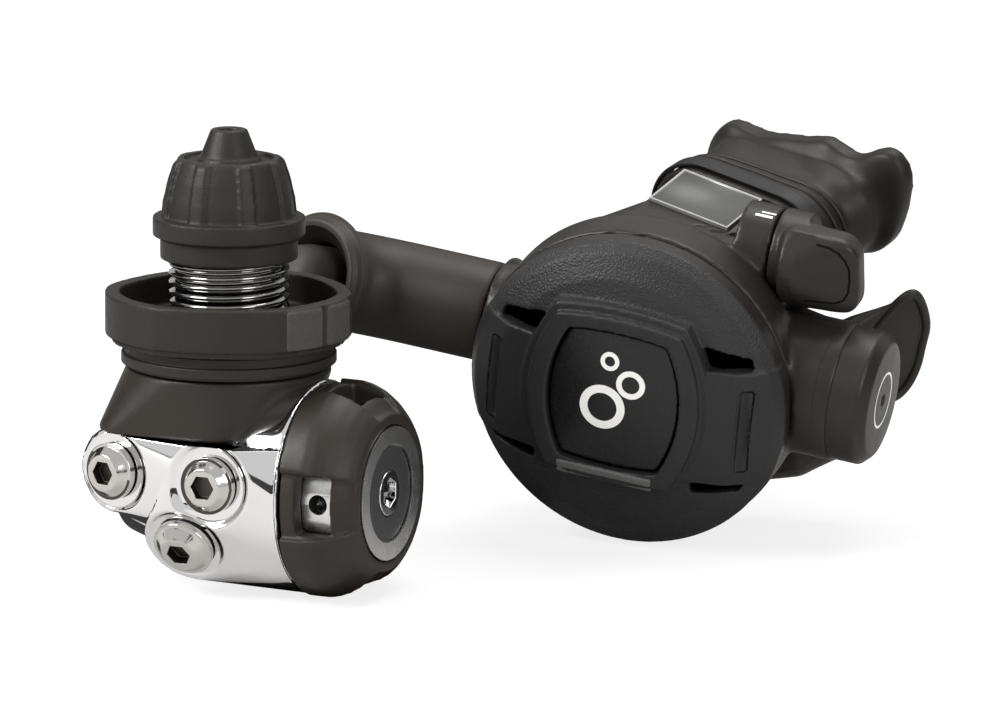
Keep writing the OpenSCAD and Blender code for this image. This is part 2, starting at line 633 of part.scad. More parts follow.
module housing() color("#191919") second_frame() difference() {
    union() {
        along_y() rotate_extrude() housing_profile(0);
        on_valve(18) cylinder(r = boss2_r, h = boss2_x - 18);
        on_valve(20) cylinder(r1 = boss2_r + 2, r2 = boss2_r, h = 12);
        on_valve(inlet_x) cylinder(r = inlet_r, h = 16);
        neck_form(0);
        translate([14, hub_y, hub_z]) along_x() cylinder(r = hub_r, h = hub_x - gap - 14);
        mouth_frame() hull() {
            translate([plate_x - 0.8, 1.4, 7]) cube([plate_w + 1.6, 0.1, plate_z - 7]);
            translate([plate_x - 0.8, 14.2, 7]) cube([plate_w + 1.6, 0.1, plate_z + 1.57 - 7]);
        }
        translate([0, 12, exhaust_z]) along_y() cylinder(r = exhaust_r + 2, h = exhaust_y - 12);
    }
    along_y() rotate_extrude() polygon([[0, -1], [housing_r - shell, -1], [housing_r - shell, 1.9],
        [housing_r - shell - 2.4, 1.9], [housing_r - shell - 2.4, 9], [housing_r - 4.8, 12.8],
        [housing_r - 11, 16.6], [housing_r - 20, housing_d - shell], [0, housing_d - shell]]);
    on_valve(inlet_x - 1) cylinder(r = valve_tube_r, h = boss2_x - inlet_x + 2);
    on_valve(inlet_x - sleeve_l) cylinder(r = sleeve_r + gap, h = sleeve_l);
    neck_form(2.2);
    mouth_frame() translate([0, neck_l - 1, 0]) along_y() linear_extrude(3) stadium(neck_sep, socket_r - 2.2);
    translate([14.5, hub_y, hub_z]) along_x() cylinder(r = pivot_r + 0.05, h = 40);
    translate([2.7, hub_y, hub_z]) along_x() cylinder(r = vane_r + 0.05, h = 14);
    translate([2.7, hub_y - 8, hub_z - 6]) cube([6, 11, 6.7]);
    facing() cylinder(r = cover_r + 0.5, h = 20);
    translate([hub_x - gap, hub_y, hub_z]) along_x() cylinder(r = hub_r + 0.5, h = 20);
    translate([hub_x + 2.5, hub_y, hub_z]) along_x() cylinder(r = swing_r, h = 20);
    translate([0, 12, exhaust_z]) along_y() cylinder(r = exhaust_r, h = 20);
}
module end_cap() color("#1d1b1b") second_frame() on_valve(boss2_x + gap) difference() {
    union() {
        cylinder(r = end_cap_r, h = end_cap_l - 2);
        translate([0, 0, end_cap_l - 2]) cylinder(r1 = end_cap_r, r2 = end_cap_r - 2, h = 2);
        translate([0, 0, -3]) cylinder(r = 3, h = 4);
    }
    translate([0, 0, end_cap_l - 3]) cylinder(r = 1, h = 5);
}
module name_plate() color("#9a9a9c") second_frame() mouth_frame() translate([plate_x, 2, plate_z + 0.13]) rotate([7, 0, 0])
    cube([plate_w, 11.6, 0.7]);
module dive_lever() color("#1b1b1c") second_frame() difference() {
    union() {
        translate([hub_x, hub_y, hub_z]) along_x() cylinder(r = hub_r, h = 6);
        translate([14.8, hub_y, hub_z]) along_x() cylinder(r = pivot_r, h = hub_x - 14);
        translate([8, hub_y, hub_z]) along_x() cylinder(r = vane_r, h = 8);
        hull() {
            translate([hub_x + 3, hub_y - 4, hub_z]) along_x() cylinder(r = hub_r - 1, h = 3, $fn = 32);
            for (p = paddle_corners) translate([p[0], hub_y - 6.5, hub_z + p[1]]) along_y()
                cylinder(r = paddle_round, h = 5, $fn = 32);
        }
    }
    translate([hub_x - 12, hub_y - 30, hub_z - 20]) cube([12, 30 - hub_r - 1, 40]);
}
module venturi_vane() color("#2d2d30") second_frame() translate([3, hub_y, hub_z]) union() {
    along_x() cylinder(r = vane_r, h = 4.95);
    translate([0, -0.5, -8]) cube([4.95, 1, 8]);
}
// Rubber mouthpiece, with its flange behind the lips and two bite tabs
function stadium_ring(y, sep, r, waist = 0, rise = 0, n = 36) = [for (i = [0:n - 1])
    let (a = 360 * i / n, x = sign(cos(a)) * sep + r * cos(a))
    [x, y, r * sin(a) * (1 - waist * pow(sin(a), 4)) + rise * (1 + mouth_twist * x)]];
module mouthpiece() color("#161616") second_frame() mouth_frame() union() {
    wall_skin([stadium_ring(neck_l - 7, 8.5, 12.2), stadium_ring(neck_l - 2, 8.5, 12, 0, 0.2),
        stadium_ring(neck_l + 5, 9.5, 12.3, 0.05, 1.2), stadium_ring(neck_l + 11, 11, 13.4, 0.18, 2.8),
        stadium_ring(neck_l + 14, 11.3, 14, 0.28, 3.6), stadium_ring(neck_l + 16.5, 11.3, 14, 0.28, 3.6),
        stadium_ring(neck_l + 16.5, 8, 7, 0, 3), stadium_ring(neck_l + 0.3, neck_sep, 7.3),
        stadium_ring(neck_l + 0.3, neck_sep, socket_r + 0.15), stadium_ring(neck_l - 7, neck_sep, socket_r + 0.15)]);
    for (s = [-1, 1]) translate([s * 15 - 2, neck_l + 15, s * 1.4 - 2.5]) cube([4, 12, 7]);
}
module mouthpiece_clamp() color("#101010") second_frame() mouth_frame() translate([0, neck_l - 6, 0]) along_y()
    linear_extrude(3.5) difference() {
        stadium(8.5, 13.2);
        stadium(8.5, 12.3);
    }
// Exhaust tee, lofted through ellipses across the second stage: x, centre y, centre z, half depth, half height, shear
tee_rings = [[-41, 35, -7, 4.8, 10.5, -0.9], [-35, 32, -9, 7, 13, -0.35], [-27, 29, -11, 10, 15, 0],
    [-14, 26, -14, 12, 15.5, 0], [0, 25, -15, 12, 15, 0], [14, 26, -14, 12, 15.5, 0], [28, 29, -10, 10, 16, 0],
    [39, 33.5, -5, 6.5, 16, 0.35], [45.8, 37, 1.5, 5, 12, 0.9]];
function tee_ring(t, d, n = 28) = [for (i = [0:n - 1]) let (a = -360 * i / n)
    [t[0] - t[5] * t[3] * (1 - cos(a)), t[1] + (t[3] - d) * cos(a), t[2] + (t[4] - d) * sin(a)]];
module exhaust_tee() color("#171717") second_frame() difference() {
    wall_skin(concat([for (t = tee_rings) tee_ring(t, 0)],
        [for (i = [len(tee_rings) - 1:-1:0]) tee_ring(tee_rings[i], 1.8)]));
    along_y() rotate_extrude() housing_profile(0.1);
    on_valve(0) cylinder(r = boss2_r + 4.4, h = 33);
    on_valve(30) cylinder(r = boss2_r + 0.4, h = boss2_x - 29.6);
    neck_form(-0.15);
    on_valve(inlet_x - 1) cylinder(r = inlet_r + 0.4, h = 30);
    translate([0, 12, exhaust_z]) along_y() cylinder(r = exhaust_r + 2.1, h = exhaust_y - 12);
}
module exhaust_valve() color("#303030") second_frame() translate([0, exhaust_y + 0.05, exhaust_z]) along_y()
    cylinder(r = exhaust_r + 1.5, h = 0.8);

// Hose between the stages
module hose_fitting() color("silver") first_frame() hose_port() union() {
    translate([0, 0, -plug_thread_l]) cylinder(r = plug_thread_r, h = plug_thread_l);
    cylinder(r = 7.6, h = fitting_nut_l, $fn = 6);
    translate([0, 0, fitting_nut_l - 0.01]) difference() {
        cylinder(r = hose_r + 0.9, h = ferrule_l);
        translate([0, 0, 2]) cylinder(r = hose_r + 0.05, h = ferrule_l);
    }
}
function unit(v) = v / norm(v);
function hose_way(i) = unit(hose_route[min(i + 1, len(hose_route) - 1)] - hose_route[max(i - 1, 0)]);
function hose_ring(i, n = 10) = let (d = hose_way(i), u = unit(cross(d, [0, 0, 1])), v = cross(u, d))
    [for (j = [0:n - 1]) let (a = 360 * j / n) hose_route[i] + hose_r * (u * cos(a) + v * sin(a))];
module hose() color("#141414") skin([for (i = [0:len(hose_route) - 1]) hose_ring(i)]);
// Rubber sleeve, swept along the valve's axis and round a bend to its flared mouth
sleeve_way = [0, -cos(sleeve_tilt), sin(sleeve_tilt)];
sleeve_start = [sleeve_x, valve_y, valve_z];
function sleeve_ring(t, r, n = 24) = let (b = min(max(t, 0), sleeve_turn), u = [-sin(b), 0, 0] - sleeve_way * cos(b),
    d = [-cos(b), 0, 0] + sleeve_way * sin(b), v = cross(u, d), far = t < 0 ? t : max(t - sleeve_turn, 0))
    [for (i = [0:n - 1]) let (a = 360 * i / n) sleeve_start + sleeve_bend * (sleeve_way + u) + far * d
        + r * (u * cos(a) + v * sin(a))];
mouth_steps = [[1.2, 0], [2.6, 0], [3.5, 0.7], [3.5, 1.8], [2.2, 2.4]];
sleeve_l = inlet_x - gap - sleeve_x;
module hose_sleeve() color("#181818") second_frame() wall_skin(concat([sleeve_ring(-sleeve_l, sleeve_r)],
    [for (t = [0:0.2:1]) sleeve_ring(t * sleeve_turn, sleeve_r)], [for (p = mouth_steps)
    sleeve_ring(sleeve_turn + p[0], mouth_r - p[1])], [for (t = [1:-0.2:-0.01]) sleeve_ring(t * sleeve_turn, sleeve_bore)], [sleeve_ring(nut_l + 1 - sleeve_l, sleeve_bore),
    sleeve_ring(nut_l + 1 - sleeve_l, 8.8), sleeve_ring(-sleeve_l, 8.8)]));
module inlet_nut() color("silver") second_frame() {
    on_valve(inlet_x - nut_l) cylinder(r = 8, h = nut_l - 0.05, $fn = 6);
    on_valve(inlet_x - 0.1) cylinder(r = valve_tube_r - 0.05, h = tube_x0 - inlet_x - 0.1);
}

first_stage_body();
top_shroud();
swivel_collar();
din_stem();
inlet_filter();
din_seal();
din_thread();
handwheel();
dust_cap();
bumper();
spring_cap();
end_plate();
adjuster();
diaphragm();
spring_pad();
main_spring();
push_pin();
high_poppet();
valve_seat();
high_spring();
lp_plugs();
high_plugs();
plug_seals();
hose_fitting();
hose();
hose_sleeve();
inlet_nut();
housing();
front_cover();
purge_button();
purge_spring();
diaphragm_plate();
demand_diaphragm();
demand_lever();
valve_tube();
poppet();
poppet_spring();
valve_orifice();
spring_plug();
end_cap();
name_plate();
dive_lever();
venturi_vane();
mouthpiece();
mouthpiece_clamp();
exhaust_tee();
exhaust_valve();
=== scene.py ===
import bpy
import bmesh
import json
import math
from mathutils import Matrix, Vector
from mathutils.bvhtree import BVHTree


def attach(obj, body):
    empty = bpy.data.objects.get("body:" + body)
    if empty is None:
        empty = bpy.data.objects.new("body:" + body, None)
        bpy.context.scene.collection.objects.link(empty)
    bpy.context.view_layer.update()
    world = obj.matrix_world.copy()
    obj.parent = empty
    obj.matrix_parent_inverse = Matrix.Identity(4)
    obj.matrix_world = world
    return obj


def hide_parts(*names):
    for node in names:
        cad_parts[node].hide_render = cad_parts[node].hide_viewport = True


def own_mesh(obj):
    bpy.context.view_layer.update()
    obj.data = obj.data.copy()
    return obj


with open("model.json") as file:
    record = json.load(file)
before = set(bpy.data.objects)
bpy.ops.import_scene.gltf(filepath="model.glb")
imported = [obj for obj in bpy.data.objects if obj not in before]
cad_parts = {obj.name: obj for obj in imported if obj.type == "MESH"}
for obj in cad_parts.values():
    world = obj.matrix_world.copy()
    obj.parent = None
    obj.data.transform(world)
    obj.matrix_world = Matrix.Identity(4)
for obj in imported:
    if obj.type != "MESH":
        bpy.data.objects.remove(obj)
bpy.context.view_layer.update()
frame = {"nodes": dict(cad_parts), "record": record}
mm = 0.001
nodes = frame["nodes"]
bodyOf = {n: b for b, group in frame["record"]["behaviour"]["bodies"].items() for n in group}

secondStage = {"place": (56.7, 61.8, 32.1), "turn": 27, "lean": 14, "yaw": -22, "roll": 3.5}
axisHeight = 20.2


def turn(degrees, axis):
    return Matrix.Rotation(math.radians(degrees), 4, axis)


def shift(spot):
    return Matrix.Translation(Vector(spot) * mm)


def linked(name, data):
    thing = bpy.data.objects.new(name, data)
    bpy.context.scene.collection.objects.link(thing)
    return thing


secondFrame = (shift(secondStage["place"]) @ turn(secondStage["turn"], "Z") @ turn(secondStage["lean"], "X")
               @ turn(secondStage["yaw"], "Z") @ turn(secondStage["roll"], "Y"))
secondBack = secondFrame.inverted()
secondWays = secondFrame.to_3x3()
firstFrame = Matrix.Translation((0, 0, axisHeight * mm))
firstBack = firstFrame.inverted()

# camera, on the photo's line of sight
camera = {"azimuth": 27, "elevation": 12, "distance": 1.3, "target": (0, 0, 0.0204), "lens": 246.3, "sensor": 36,
          "far": 20, "targetPixel": (229, 475), "middlePixel": (500, 362.5), "focalPixels": 6842}
az, el = math.radians(camera["azimuth"]), math.radians(camera["elevation"])
towards = Vector((math.sin(az) * math.cos(el), -math.cos(az) * math.cos(el), math.sin(el)))
across = Vector((math.cos(az), math.sin(az), 0))
upward = towards.cross(across)
look = (-towards * camera["focalPixels"] + across * (camera["middlePixel"][0] - camera["targetPixel"][0])
        + upward * (camera["targetPixel"][1] - camera["middlePixel"][1])).normalized()
rightAxis = (across - look * across.dot(look)).normalized()
topAxis = rightAxis.cross(look)
camData = bpy.data.cameras.new("viewCamera")
camData.lens = camera["lens"]
camData.sensor_width = camera["sensor"]
camData.clip_end = camera["far"]
camObject = linked("viewCamera", camData)
camObject.matrix_world = Matrix.Translation(Vector(camera["target"]) + towards * camera["distance"]) @ Matrix(
    (rightAxis, topAxis, -look)).transposed().to_4x4()
bpy.context.scene.camera = camObject
print("camera set")


# shader groups that several finishes share
def newGroup(name, inputs, outputs):
    group = bpy.data.node_groups.new(name, "ShaderNodeTree")
    for label, kind, value in inputs:
        socket = group.interface.new_socket(label, in_out="INPUT", socket_type=kind)
        if value is not None:
            socket.default_value = value
    for label, kind in outputs:
        group.interface.new_socket(label, in_out="OUTPUT", socket_type=kind)
    return group, group.nodes.new("NodeGroupInput"), group.nodes.new("NodeGroupOutput")


def addNode(tree, kind, **values):
    node = tree.nodes.new(kind)
    for key, value in values.items():
        if key[0].isupper():
            node.inputs[key.replace("_", " ")].default_value = value
        else:
            setattr(node, key, value)
    return node


def mathNode(tree, operation, a, b):
    node = addNode(tree, "ShaderNodeMath", operation=operation)
    for socket, value in zip(node.inputs, (a, b)):
        if isinstance(value, (int, float)):
            socket.default_value = value
        else:
            tree.links.new(value, socket)
    return node.outputs[0]


def weighted(tree, one, two, weights):
    return mathNode(tree, "ADD", mathNode(tree, "MULTIPLY", one.outputs[0], weights[0]),
                    mathNode(tree, "MULTIPLY", two.outputs[0], weights[1]))


# moulded surface: pebble grain for the bump, slow clouds for the tone
mouldWeights = (0.6, 0.5)
mouldGroup, mouldIn, mouldOut = newGroup(
    "mouldedGrain", [("Vector", "NodeSocketVector", None), ("Pebble", "NodeSocketFloat", 2600.0),
                     ("Cloud", "NodeSocketFloat", 60.0)],
    [("Height", "NodeSocketFloat"), ("Tone", "NodeSocketFloat")])
pebble = addNode(mouldGroup, "ShaderNodeTexNoise", Detail=3.0, Roughness=0.55)
cell = addNode(mouldGroup, "ShaderNodeTexVoronoi", feature="SMOOTH_F1", Smoothness=0.6)
cloud = addNode(mouldGroup, "ShaderNodeTexNoise", Detail=4.0, Roughness=0.6)
for tex, size in ((pebble, "Pebble"), (cell, "Pebble"), (cloud, "Cloud")):
    mouldGroup.links.new(mouldIn.outputs["Vector"], tex.inputs["Vector"])
    mouldGroup.links.new(mouldIn.outputs[size], tex.inputs["Scale"])
mouldGroup.links.new(weighted(mouldGroup, pebble, cell, mouldWeights), mouldOut.inputs["Height"])
mouldGroup.links.new(cloud.outputs[0], mouldOut.inputs["Tone"])

# handled surface: faint smears and hair scratches that change the gloss
handleWeights = (0.75, 0.25)
handleGroup, handleIn, handleOut = newGroup(
    "handledGloss", [("Vector", "NodeSocketVector", None), ("Low", "NodeSocketFloat", 0.3),
                     ("High", "NodeSocketFloat", 0.5)], [("Gloss", "NodeSocketFloat")])
smear = addNode(handleGroup, "ShaderNodeTexNoise", Scale=140.0, Detail=5.0, Roughness=0.65, Distortion=0.8)
hair = addNode(handleGroup, "ShaderNodeTexNoise", Scale=1500.0, Detail=2.0)
stretch = addNode(handleGroup, "ShaderNodeMapping", Scale=(1.0, 1.0, 0.06))
spread = addNode(handleGroup, "ShaderNodeMapRange", From_Min=0.3, From_Max=0.7)
handleGroup.links.new(handleIn.outputs["Vector"], smear.inputs["Vector"])
handleGroup.links.new(handleIn.outputs["Vector"], stretch.inputs["Vector"])
handleGroup.links.new(stretch.outputs[0], hair.inputs["Vector"])
handleGroup.links.new(weighted(handleGroup, smear, hair, handleWeights), spread.inputs["Value"])
handleGroup.links.new(handleIn.outputs["Low"], spread.inputs["To Min"])
handleGroup.links.new(handleIn.outputs["High"], spread.inputs["To Max"])
handleGroup.links.new(spread.outputs[0], handleOut.inputs["Gloss"])


def finish(name, dark, light, gloss, pebbleScale, depth, cloudScale=60.0, metallic=0.0, **sockets):
    material = bpy.data.materials.new(name)
    material.use_nodes = True
    tree = material.node_tree
    shader = tree.nodes["Principled BSDF"]
    place = addNode(tree, "ShaderNodeTexCoord").outputs["Object"]
    mould = addNode(tree, "ShaderNodeGroup", node_tree=mouldGroup, Pebble=pebbleScale, Cloud=cloudScale)
    handled = addNode(tree, "ShaderNodeGroup", node_tree=handleGroup, Low=gloss[0], High=gloss[1])
    tone = addNode(tree, "ShaderNodeMix", data_type="RGBA")
    tone.inputs["A"].default_value = (*dark, 1)
    tone.inputs["B"].default_value = (*light, 1)
    bump = addNode(tree, "ShaderNodeBump", Strength=1.0, Distance=depth * mm)
    tree.links.new(place, mould.inputs["Vector"])
    tree.links.new(place, handled.inputs["Vector"])
    tree.links.new(mould.outputs["Tone"], tone.inputs["Factor"])
    tree.links.new(mould.outputs["Height"], bump.inputs["Height"])
    tree.links.new(tone.outputs["Result"], shader.inputs["Base Color"])
    tree.links.new(handled.outputs["Gloss"], shader.inputs["Roughness"])
    tree.links.new(bump.outputs[0], shader.inputs["Normal"])
    shader.inputs["Metallic"].default_value = metallic
    for key, value in sockets.items():
        shader.inputs[key.replace("_", " ")].default_value = value
    return material


dull, soft, dead = ({"Specular_IOR_Level": level} for level in (0.28, 0.36, 0.1))
coverGrain = finish("coverGrain", (0.015, 0.0147, 0.0147), (0.026, 0.0255, 0.0255), (0.38, 0.50), 2300, 0.20, **dull)
bandGrain = finish("bandGrain", (0.012, 0.012, 0.012), (0.019, 0.019, 0.019), (0.38, 0.50), 3600, 0.04, **dull)
satinShell = finish("satinShell", (0.0125, 0.0105, 0.0095), (0.020, 0.0175, 0.016), (0.32, 0.44), 4200, 0.018, **dull)
buttonSatin = finish("buttonSatin", (0.006, 0.006, 0.006), (0.010, 0.010, 0.010), (0.22, 0.32), 4200, 0.008, **soft)
wheelRubber = finish("wheelRubber", (0.012, 0.0105, 0.009), (0.020, 0.0175, 0.015), (0.44, 0.58), 3000, 0.06, **dull)
capRubber = finish("capRubber", (0.012, 0.0105, 0.0095), (0.019, 0.017, 0.015), (0.42, 0.56), 3400, 0.04, **dull)
softRubber = finish("softRubber", (0.014, 0.0115, 0.009), (0.024, 0.020, 0.016), (0.38, 0.52), 3800, 0.025, **dull)
sleeveRubber = finish("sleeveRubber", (0.020, 0.0165, 0.014), (0.032, 0.027, 0.023), (0.38, 0.50), 4200, 0.02, **dull)
sealRubber = finish("sealRubber", (0.006, 0.006, 0.006), (0.01, 0.01, 0.01), (0.4, 0.5), 3800, 0.015, **dull)
grooveShade = finish("grooveShade", (0.0015, 0.0014, 0.0013), (0.003, 0.0028, 0.0026), (0.7, 0.9), 3800, 0.01, **dead)
mouthRubber = finish("mouthRubber", (0.0075, 0.006, 0.0048), (0.013, 0.0105, 0.0085), (0.40, 0.54), 3800, 0.025, **dull)
padGrain = finish("padGrain", (0.032, 0.031, 0.030), (0.062, 0.060, 0.058), (0.5, 0.62), 2600, 0.08, 900.0, **dull)
chrome = finish("chrome", (0.74, 0.74, 0.745), (0.80, 0.80, 0.805), (0.03, 0.07), 300, 0.002, 30.0, 1.0)
plugSteel = finish("plugSteel", (0.52, 0.51, 0.49), (0.60, 0.59, 0.57), (0.10, 0.17), 900, 0.003, 60.0, 1.0)
socketShade = finish("socketShade", (0.05, 0.045, 0.04), (0.10, 0.09, 0.08), (0.3, 0.45), 900, 0.003, 90.0, 1.0)
satinChrome = finish("satinChrome", (0.66, 0.66, 0.655), (0.74, 0.74, 0.735), (0.22, 0.30), 600, 0.002, 40.0, 1.0)
# the thread's chrome is darkened: painted reflection of the dark wheel cup and dust cap round it
threadDarkReflection = finish("threadDarkReflection", (0.26, 0.255, 0.25), (0.34, 0.335, 0.33), (0.05, 0.12), 600, 0.002, 60.0, 1.0)
steel = finish("springSteel", (0.48, 0.48, 0.50), (0.58, 0.58, 0.60), (0.22, 0.36), 2500, 0.004, 90.0, 1.0)
bronze = finish("sinteredBronze", (0.36, 0.24, 0.12), (0.50, 0.36, 0.20), (0.4, 0.6), 5200, 0.05, 200.0, 1.0)
darkPlate = finish("anodisedPlate", (0.035, 0.035, 0.037), (0.055, 0.055, 0.057), (0.3, 0.42), 4200, 0.01, 80.0, 0.3)
labelMetal = finish("labelMetal", (0.06, 0.06, 0.056), (0.10, 0.10, 0.094), (0.4, 0.5), 4200, 0.008, 90.0, 0.2)
frameMetal = finish("frameMetal", (0.24, 0.24, 0.23), (0.32, 0.32, 0.31), (0.35, 0.45), 4200, 0.008, 90.0, 0.4)
markWhite = finish("markWhite", (0.74, 0.73, 0.70), (0.84, 0.83, 0.80), (0.4, 0.5), 4200, 0.01)
barGrit = finish("barGrit", (0.02, 0.02, 0.02), (0.17, 0.17, 0.165), (0.5, 0.65), 2200, 0.08, 2600.0)
print("finishes made")


# helpers for pieces
def addPiece(name, bm, material, body, replaced=(), sharp=None):
    mesh = bpy.data.meshes.new(name)
    bm.to_mesh(mesh)
    bm.free()
    mesh.materials.append(material)
    for face in mesh.polygons:
        face.use_smooth = True
    if sharp:
        mesh.set_sharp_from_angle(angle=math.radians(sharp))
    piece = linked(name, mesh)
    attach(piece, body)
    if replaced:
        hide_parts(*replaced)
    return piece


def settle(piece):  # puts the modifiers' result into the mesh
    done = bpy.data.meshes.new_from_object(piece.evaluated_get(bpy.context.evaluated_depsgraph_get()))
    piece.modifiers.clear()
    piece.data = done
    return piece


def addSkin(piece, voxel):
    skin = piece.modifiers.new("skin", "REMESH")
    skin.mode = "VOXEL"
    skin.voxel_size = voxel * mm
    skin.use_smooth_shade = True


def addSmooth(piece, passes):
    smooth = piece.modifiers.new("soft", "SMOOTH")
    smooth.factor = 0.5
    smooth.iterations = passes


def mergedCopy(node):
    bm = bmesh.new()
    bm.from_mesh(nodes[node].data)
    bmesh.ops.remove_doubles(bm, verts=bm.verts, dist=0.002 * mm)
    return bm


def reshape(piece, space, change):  # moves a piece's points, in a frame's millimetres
    back = space.inverted()
    for vert in piece.data.vertices:
        vert.co = space @ (change(back @ vert.co / mm) * mm)


def onlyVerts(geom):
    return [g for g in geom if isinstance(g, bmesh.types.BMVert)]


def dropLoose(bm):
    bmesh.ops.delete(bm, geom=[v for v in bm.verts if not v.link_faces], context="VERTS")


def spinProfile(bm, points, centre, axis, steps):
    ring = [bm.verts.new(p) for p in points]
    line = [bm.edges.new(pair) for pair in zip(ring, ring[1:] + ring[:1])]
    bmesh.ops.spin(bm, geom=ring + line, cent=centre, axis=axis, angle=2 * math.pi, steps=steps, use_merge=True)
    bmesh.ops.recalc_face_normals(bm, faces=bm.faces)


def clamped(value, low, high):
    return min(max((value - low) / (high - low), 0), 1)


def ease(value, low, high):
    share = clamped(value, low, high)
    return share * share * (3 - 2 * share)


# a tube swept through stations of centre, heading and radius
def sweepTube(stations, sides, closed):
    bm = bmesh.new()
    ring = bmesh.ops.create_circle(bm, cap_ends=False, segments=sides, radius=1.0)["verts"]
    edges = bm.edges[:]
    heading, turnNow, before = Vector((0, 0, 1)), Matrix.Identity(4), Matrix.Identity(4)
    first = None
    for centre, way, radius in stations:
        turnNow = heading.rotation_difference(way).to_matrix().to_4x4() @ turnNow
        heading = way
        now = Matrix.Translation(centre) @ turnNow @ Matrix.Scale(radius, 4)
        if first is not None:
            grown = bmesh.ops.extrude_edge_only(bm, edges=edges)["geom"]
            ring = onlyVerts(grown)
            edges = [g for g in grown if isinstance(g, bmesh.types.BMEdge)]
        else:
            first = edges
        bmesh.ops.transform(bm, matrix=now @ before.inverted(), verts=ring)
        before = now
    if closed:
        bmesh.ops.bridge_loops(bm, edges=first + edges)
    else:
        bmesh.ops.holes_fill(bm, edges=bm.edges)
    bmesh.ops.recalc_face_normals(bm, faces=bm.faces)
    return bm


def ringTube(rim, radius, sides):
    count = len(rim)
    return sweepTube([(rim[k], (rim[(k + 1) % count] - rim[k - 1]).normalized(), radius * mm) for k in range(count)],
                     sides, True)


# moulded or cast pieces: the CAD form with its edges rounded over
def roundedForm(node, name, material, voxel, passes):
    piece = addPiece(name, mergedCopy(node), material, bodyOf[node], (node,))
    addSkin(piece, voxel)
    addSmooth(piece, passes)
    return settle(piece)


# turned metal pieces: the CAD form with bevelled edges
bevel = {"flat": 0.6, "angle": 40, "segments": 3}


def turnedForm(node, name, material, width):
    bm = mergedCopy(node)
    bmesh.ops.dissolve_limit(bm, angle_limit=math.radians(bevel["flat"]), verts=bm.verts, edges=bm.edges)
    piece = addPiece(name, bm, material, bodyOf[node], (node,), bevel["angle"])
    edge = piece.modifiers.new("edge", "BEVEL")
    edge.width = width * mm
    edge.segments = bevel["segments"]
    edge.limit_method = "ANGLE"
    edge.angle_limit = math.radians(bevel["angle"])
    edge.use_clamp_overlap = True
    return piece


rounded = {
    "first_stage_body": ("castBody", chrome, 0.44, 26),
    "handwheel": ("gripWheel", wheelRubber, 0.36, 3),
    "dust_cap": ("dustCap", capRubber, 0.34, 4),
    "bumper": ("endBumper", softRubber, 0.34, 8),
    "housing": ("valveHousing", satinShell, 0.55, 8),
    "front_cover": ("domeCover", coverGrain, 0.36, 2),
    "purge_button": ("purgeButton", buttonSatin, 0.3, 6),
    "dive_lever": ("diveLever", satinShell, 0.3, 8),
    "exhaust_tee": ("exhaustTee", softRubber, 0.5, 14),
    "mouthpiece": ("softMouthpiece", mouthRubber, 0.45, 28),
}
made = {}
for node, spec in rounded.items():
    made[node] = roundedForm(node, *spec)
print("rounded forms made")

turned = {
    "swivel_collar": ("steppedCollar", wheelRubber, 0.3),
    "spring_cap": ("springCap", satinChrome, 0.35),
    "end_plate": ("endPlate", darkPlate, 0.2),
    "adjuster": ("adjustScrew", chrome, 0.2),
    "lp_plugs": ("portPlugs", plugSteel, 0.25),
    "high_plugs": ("lowerPlugs", plugSteel, 0.25),
    "hose_fitting": ("hoseNut", chrome, 0.3),
    "end_cap": ("barrelCap", satinShell, 0.5),
    "mouthpiece_clamp": ("clampBand", sealRubber, 0.3),
}
for node, spec in turned.items():
    made[node] = turnedForm(node, *spec)
print("turned forms made")

# cast front of the body: a hull over its ports, spot-faced round each plug
front = {"barrel": (19.6, 20.4), "arc": range(-165, -24, 4), "inner": 16.3,
         "boss": {"end": 7.4, "mid": 8.6, "low": 8.4},
         "raise": {"end": 0.6, "mid": 0.8, "low": 0.4}, "foot": -3.0, "masses": (("end", "mid"), ("mid", "low")),
         "spot": 7.1, "slope": 0.7, "face": 0.05, "reach": 4, "top": 10.0, "bosses": -17, "sides": 72, "voxel": 0.22,
         "passes": 8}
portFrames = {
    "end": Matrix.Translation((-11.5, 0, 3)) @ turn(-12, "Z") @ turn(90, "X") @ Matrix.Translation((0, 0, 18)),
    "mid": Matrix.Translation((6.8, 0, 3)) @ turn(90, "X") @ Matrix.Translation((0, 0, 21)),
    "low": turn(118, "X") @ Matrix.Translation((0, 0, 20.2))}
bm = bmesh.new()
for mass in front["masses"]:
    points = []
    for port in mass:
        wide = front["boss"][port]
        for depth in (front["raise"][port], front["foot"]):
            for k in range(front["sides"]):
                a = k * math.pi / (front["sides"] / 2)
                points.append(portFrames[port] @ Vector((wide * math.cos(a), wide * math.sin(a), depth)))
    end, radius = front["barrel"]
    for k in front["arc"]:
        points.append(Vector((end, radius * math.sin(math.radians(k)), radius * math.cos(math.radians(k)))))
    bmesh.ops.convex_hull(bm, input=[bm.verts.new(q * mm) for q in points])
dropLoose(bm)
bmesh.ops.transform(bm, matrix=firstFrame, verts=bm.verts)
piece = addPiece("castFront", bm, chrome, "set", ())
addSkin(piece, front["voxel"])
settle(piece)


def spotFaced(place):
    place.z = min(place.z, front["top"])
    for port in portFrames.values():
        spot = port.inverted() @ place
        limit = front["face"] + front["slope"] * max(math.hypot(spot.x, spot.y) - front["spot"], 0)
        if limit < spot.z < front["reach"]:
            spot.z = limit
            place = port @ spot
    away = math.hypot(place.y, place.z)
    if away < front["inner"]:
        place.y, place.z = place.y * front["inner"] / away, place.z * front["inner"] / away
    return place


reshape(piece, firstFrame, spotFaced)
addSmooth(piece, front["passes"])
settle(piece)
for vert in made["first_stage_body"].data.vertices:  # bosses stay under the shroud's edge
    if vert.co.y < front["bosses"] * mm:
        vert.co.z = min(vert.co.z, (axisHeight + front["top"]) * mm)

# hand wheel: paler grit on its grip pads
padRadius = 23.71
wheel = made["handwheel"]
wheel.data.materials.append(padGrain)
for face in wheel.data.polygons:
    if math.hypot(face.center.x, face.center.y) > padRadius * mm:
        face.material_index = 1

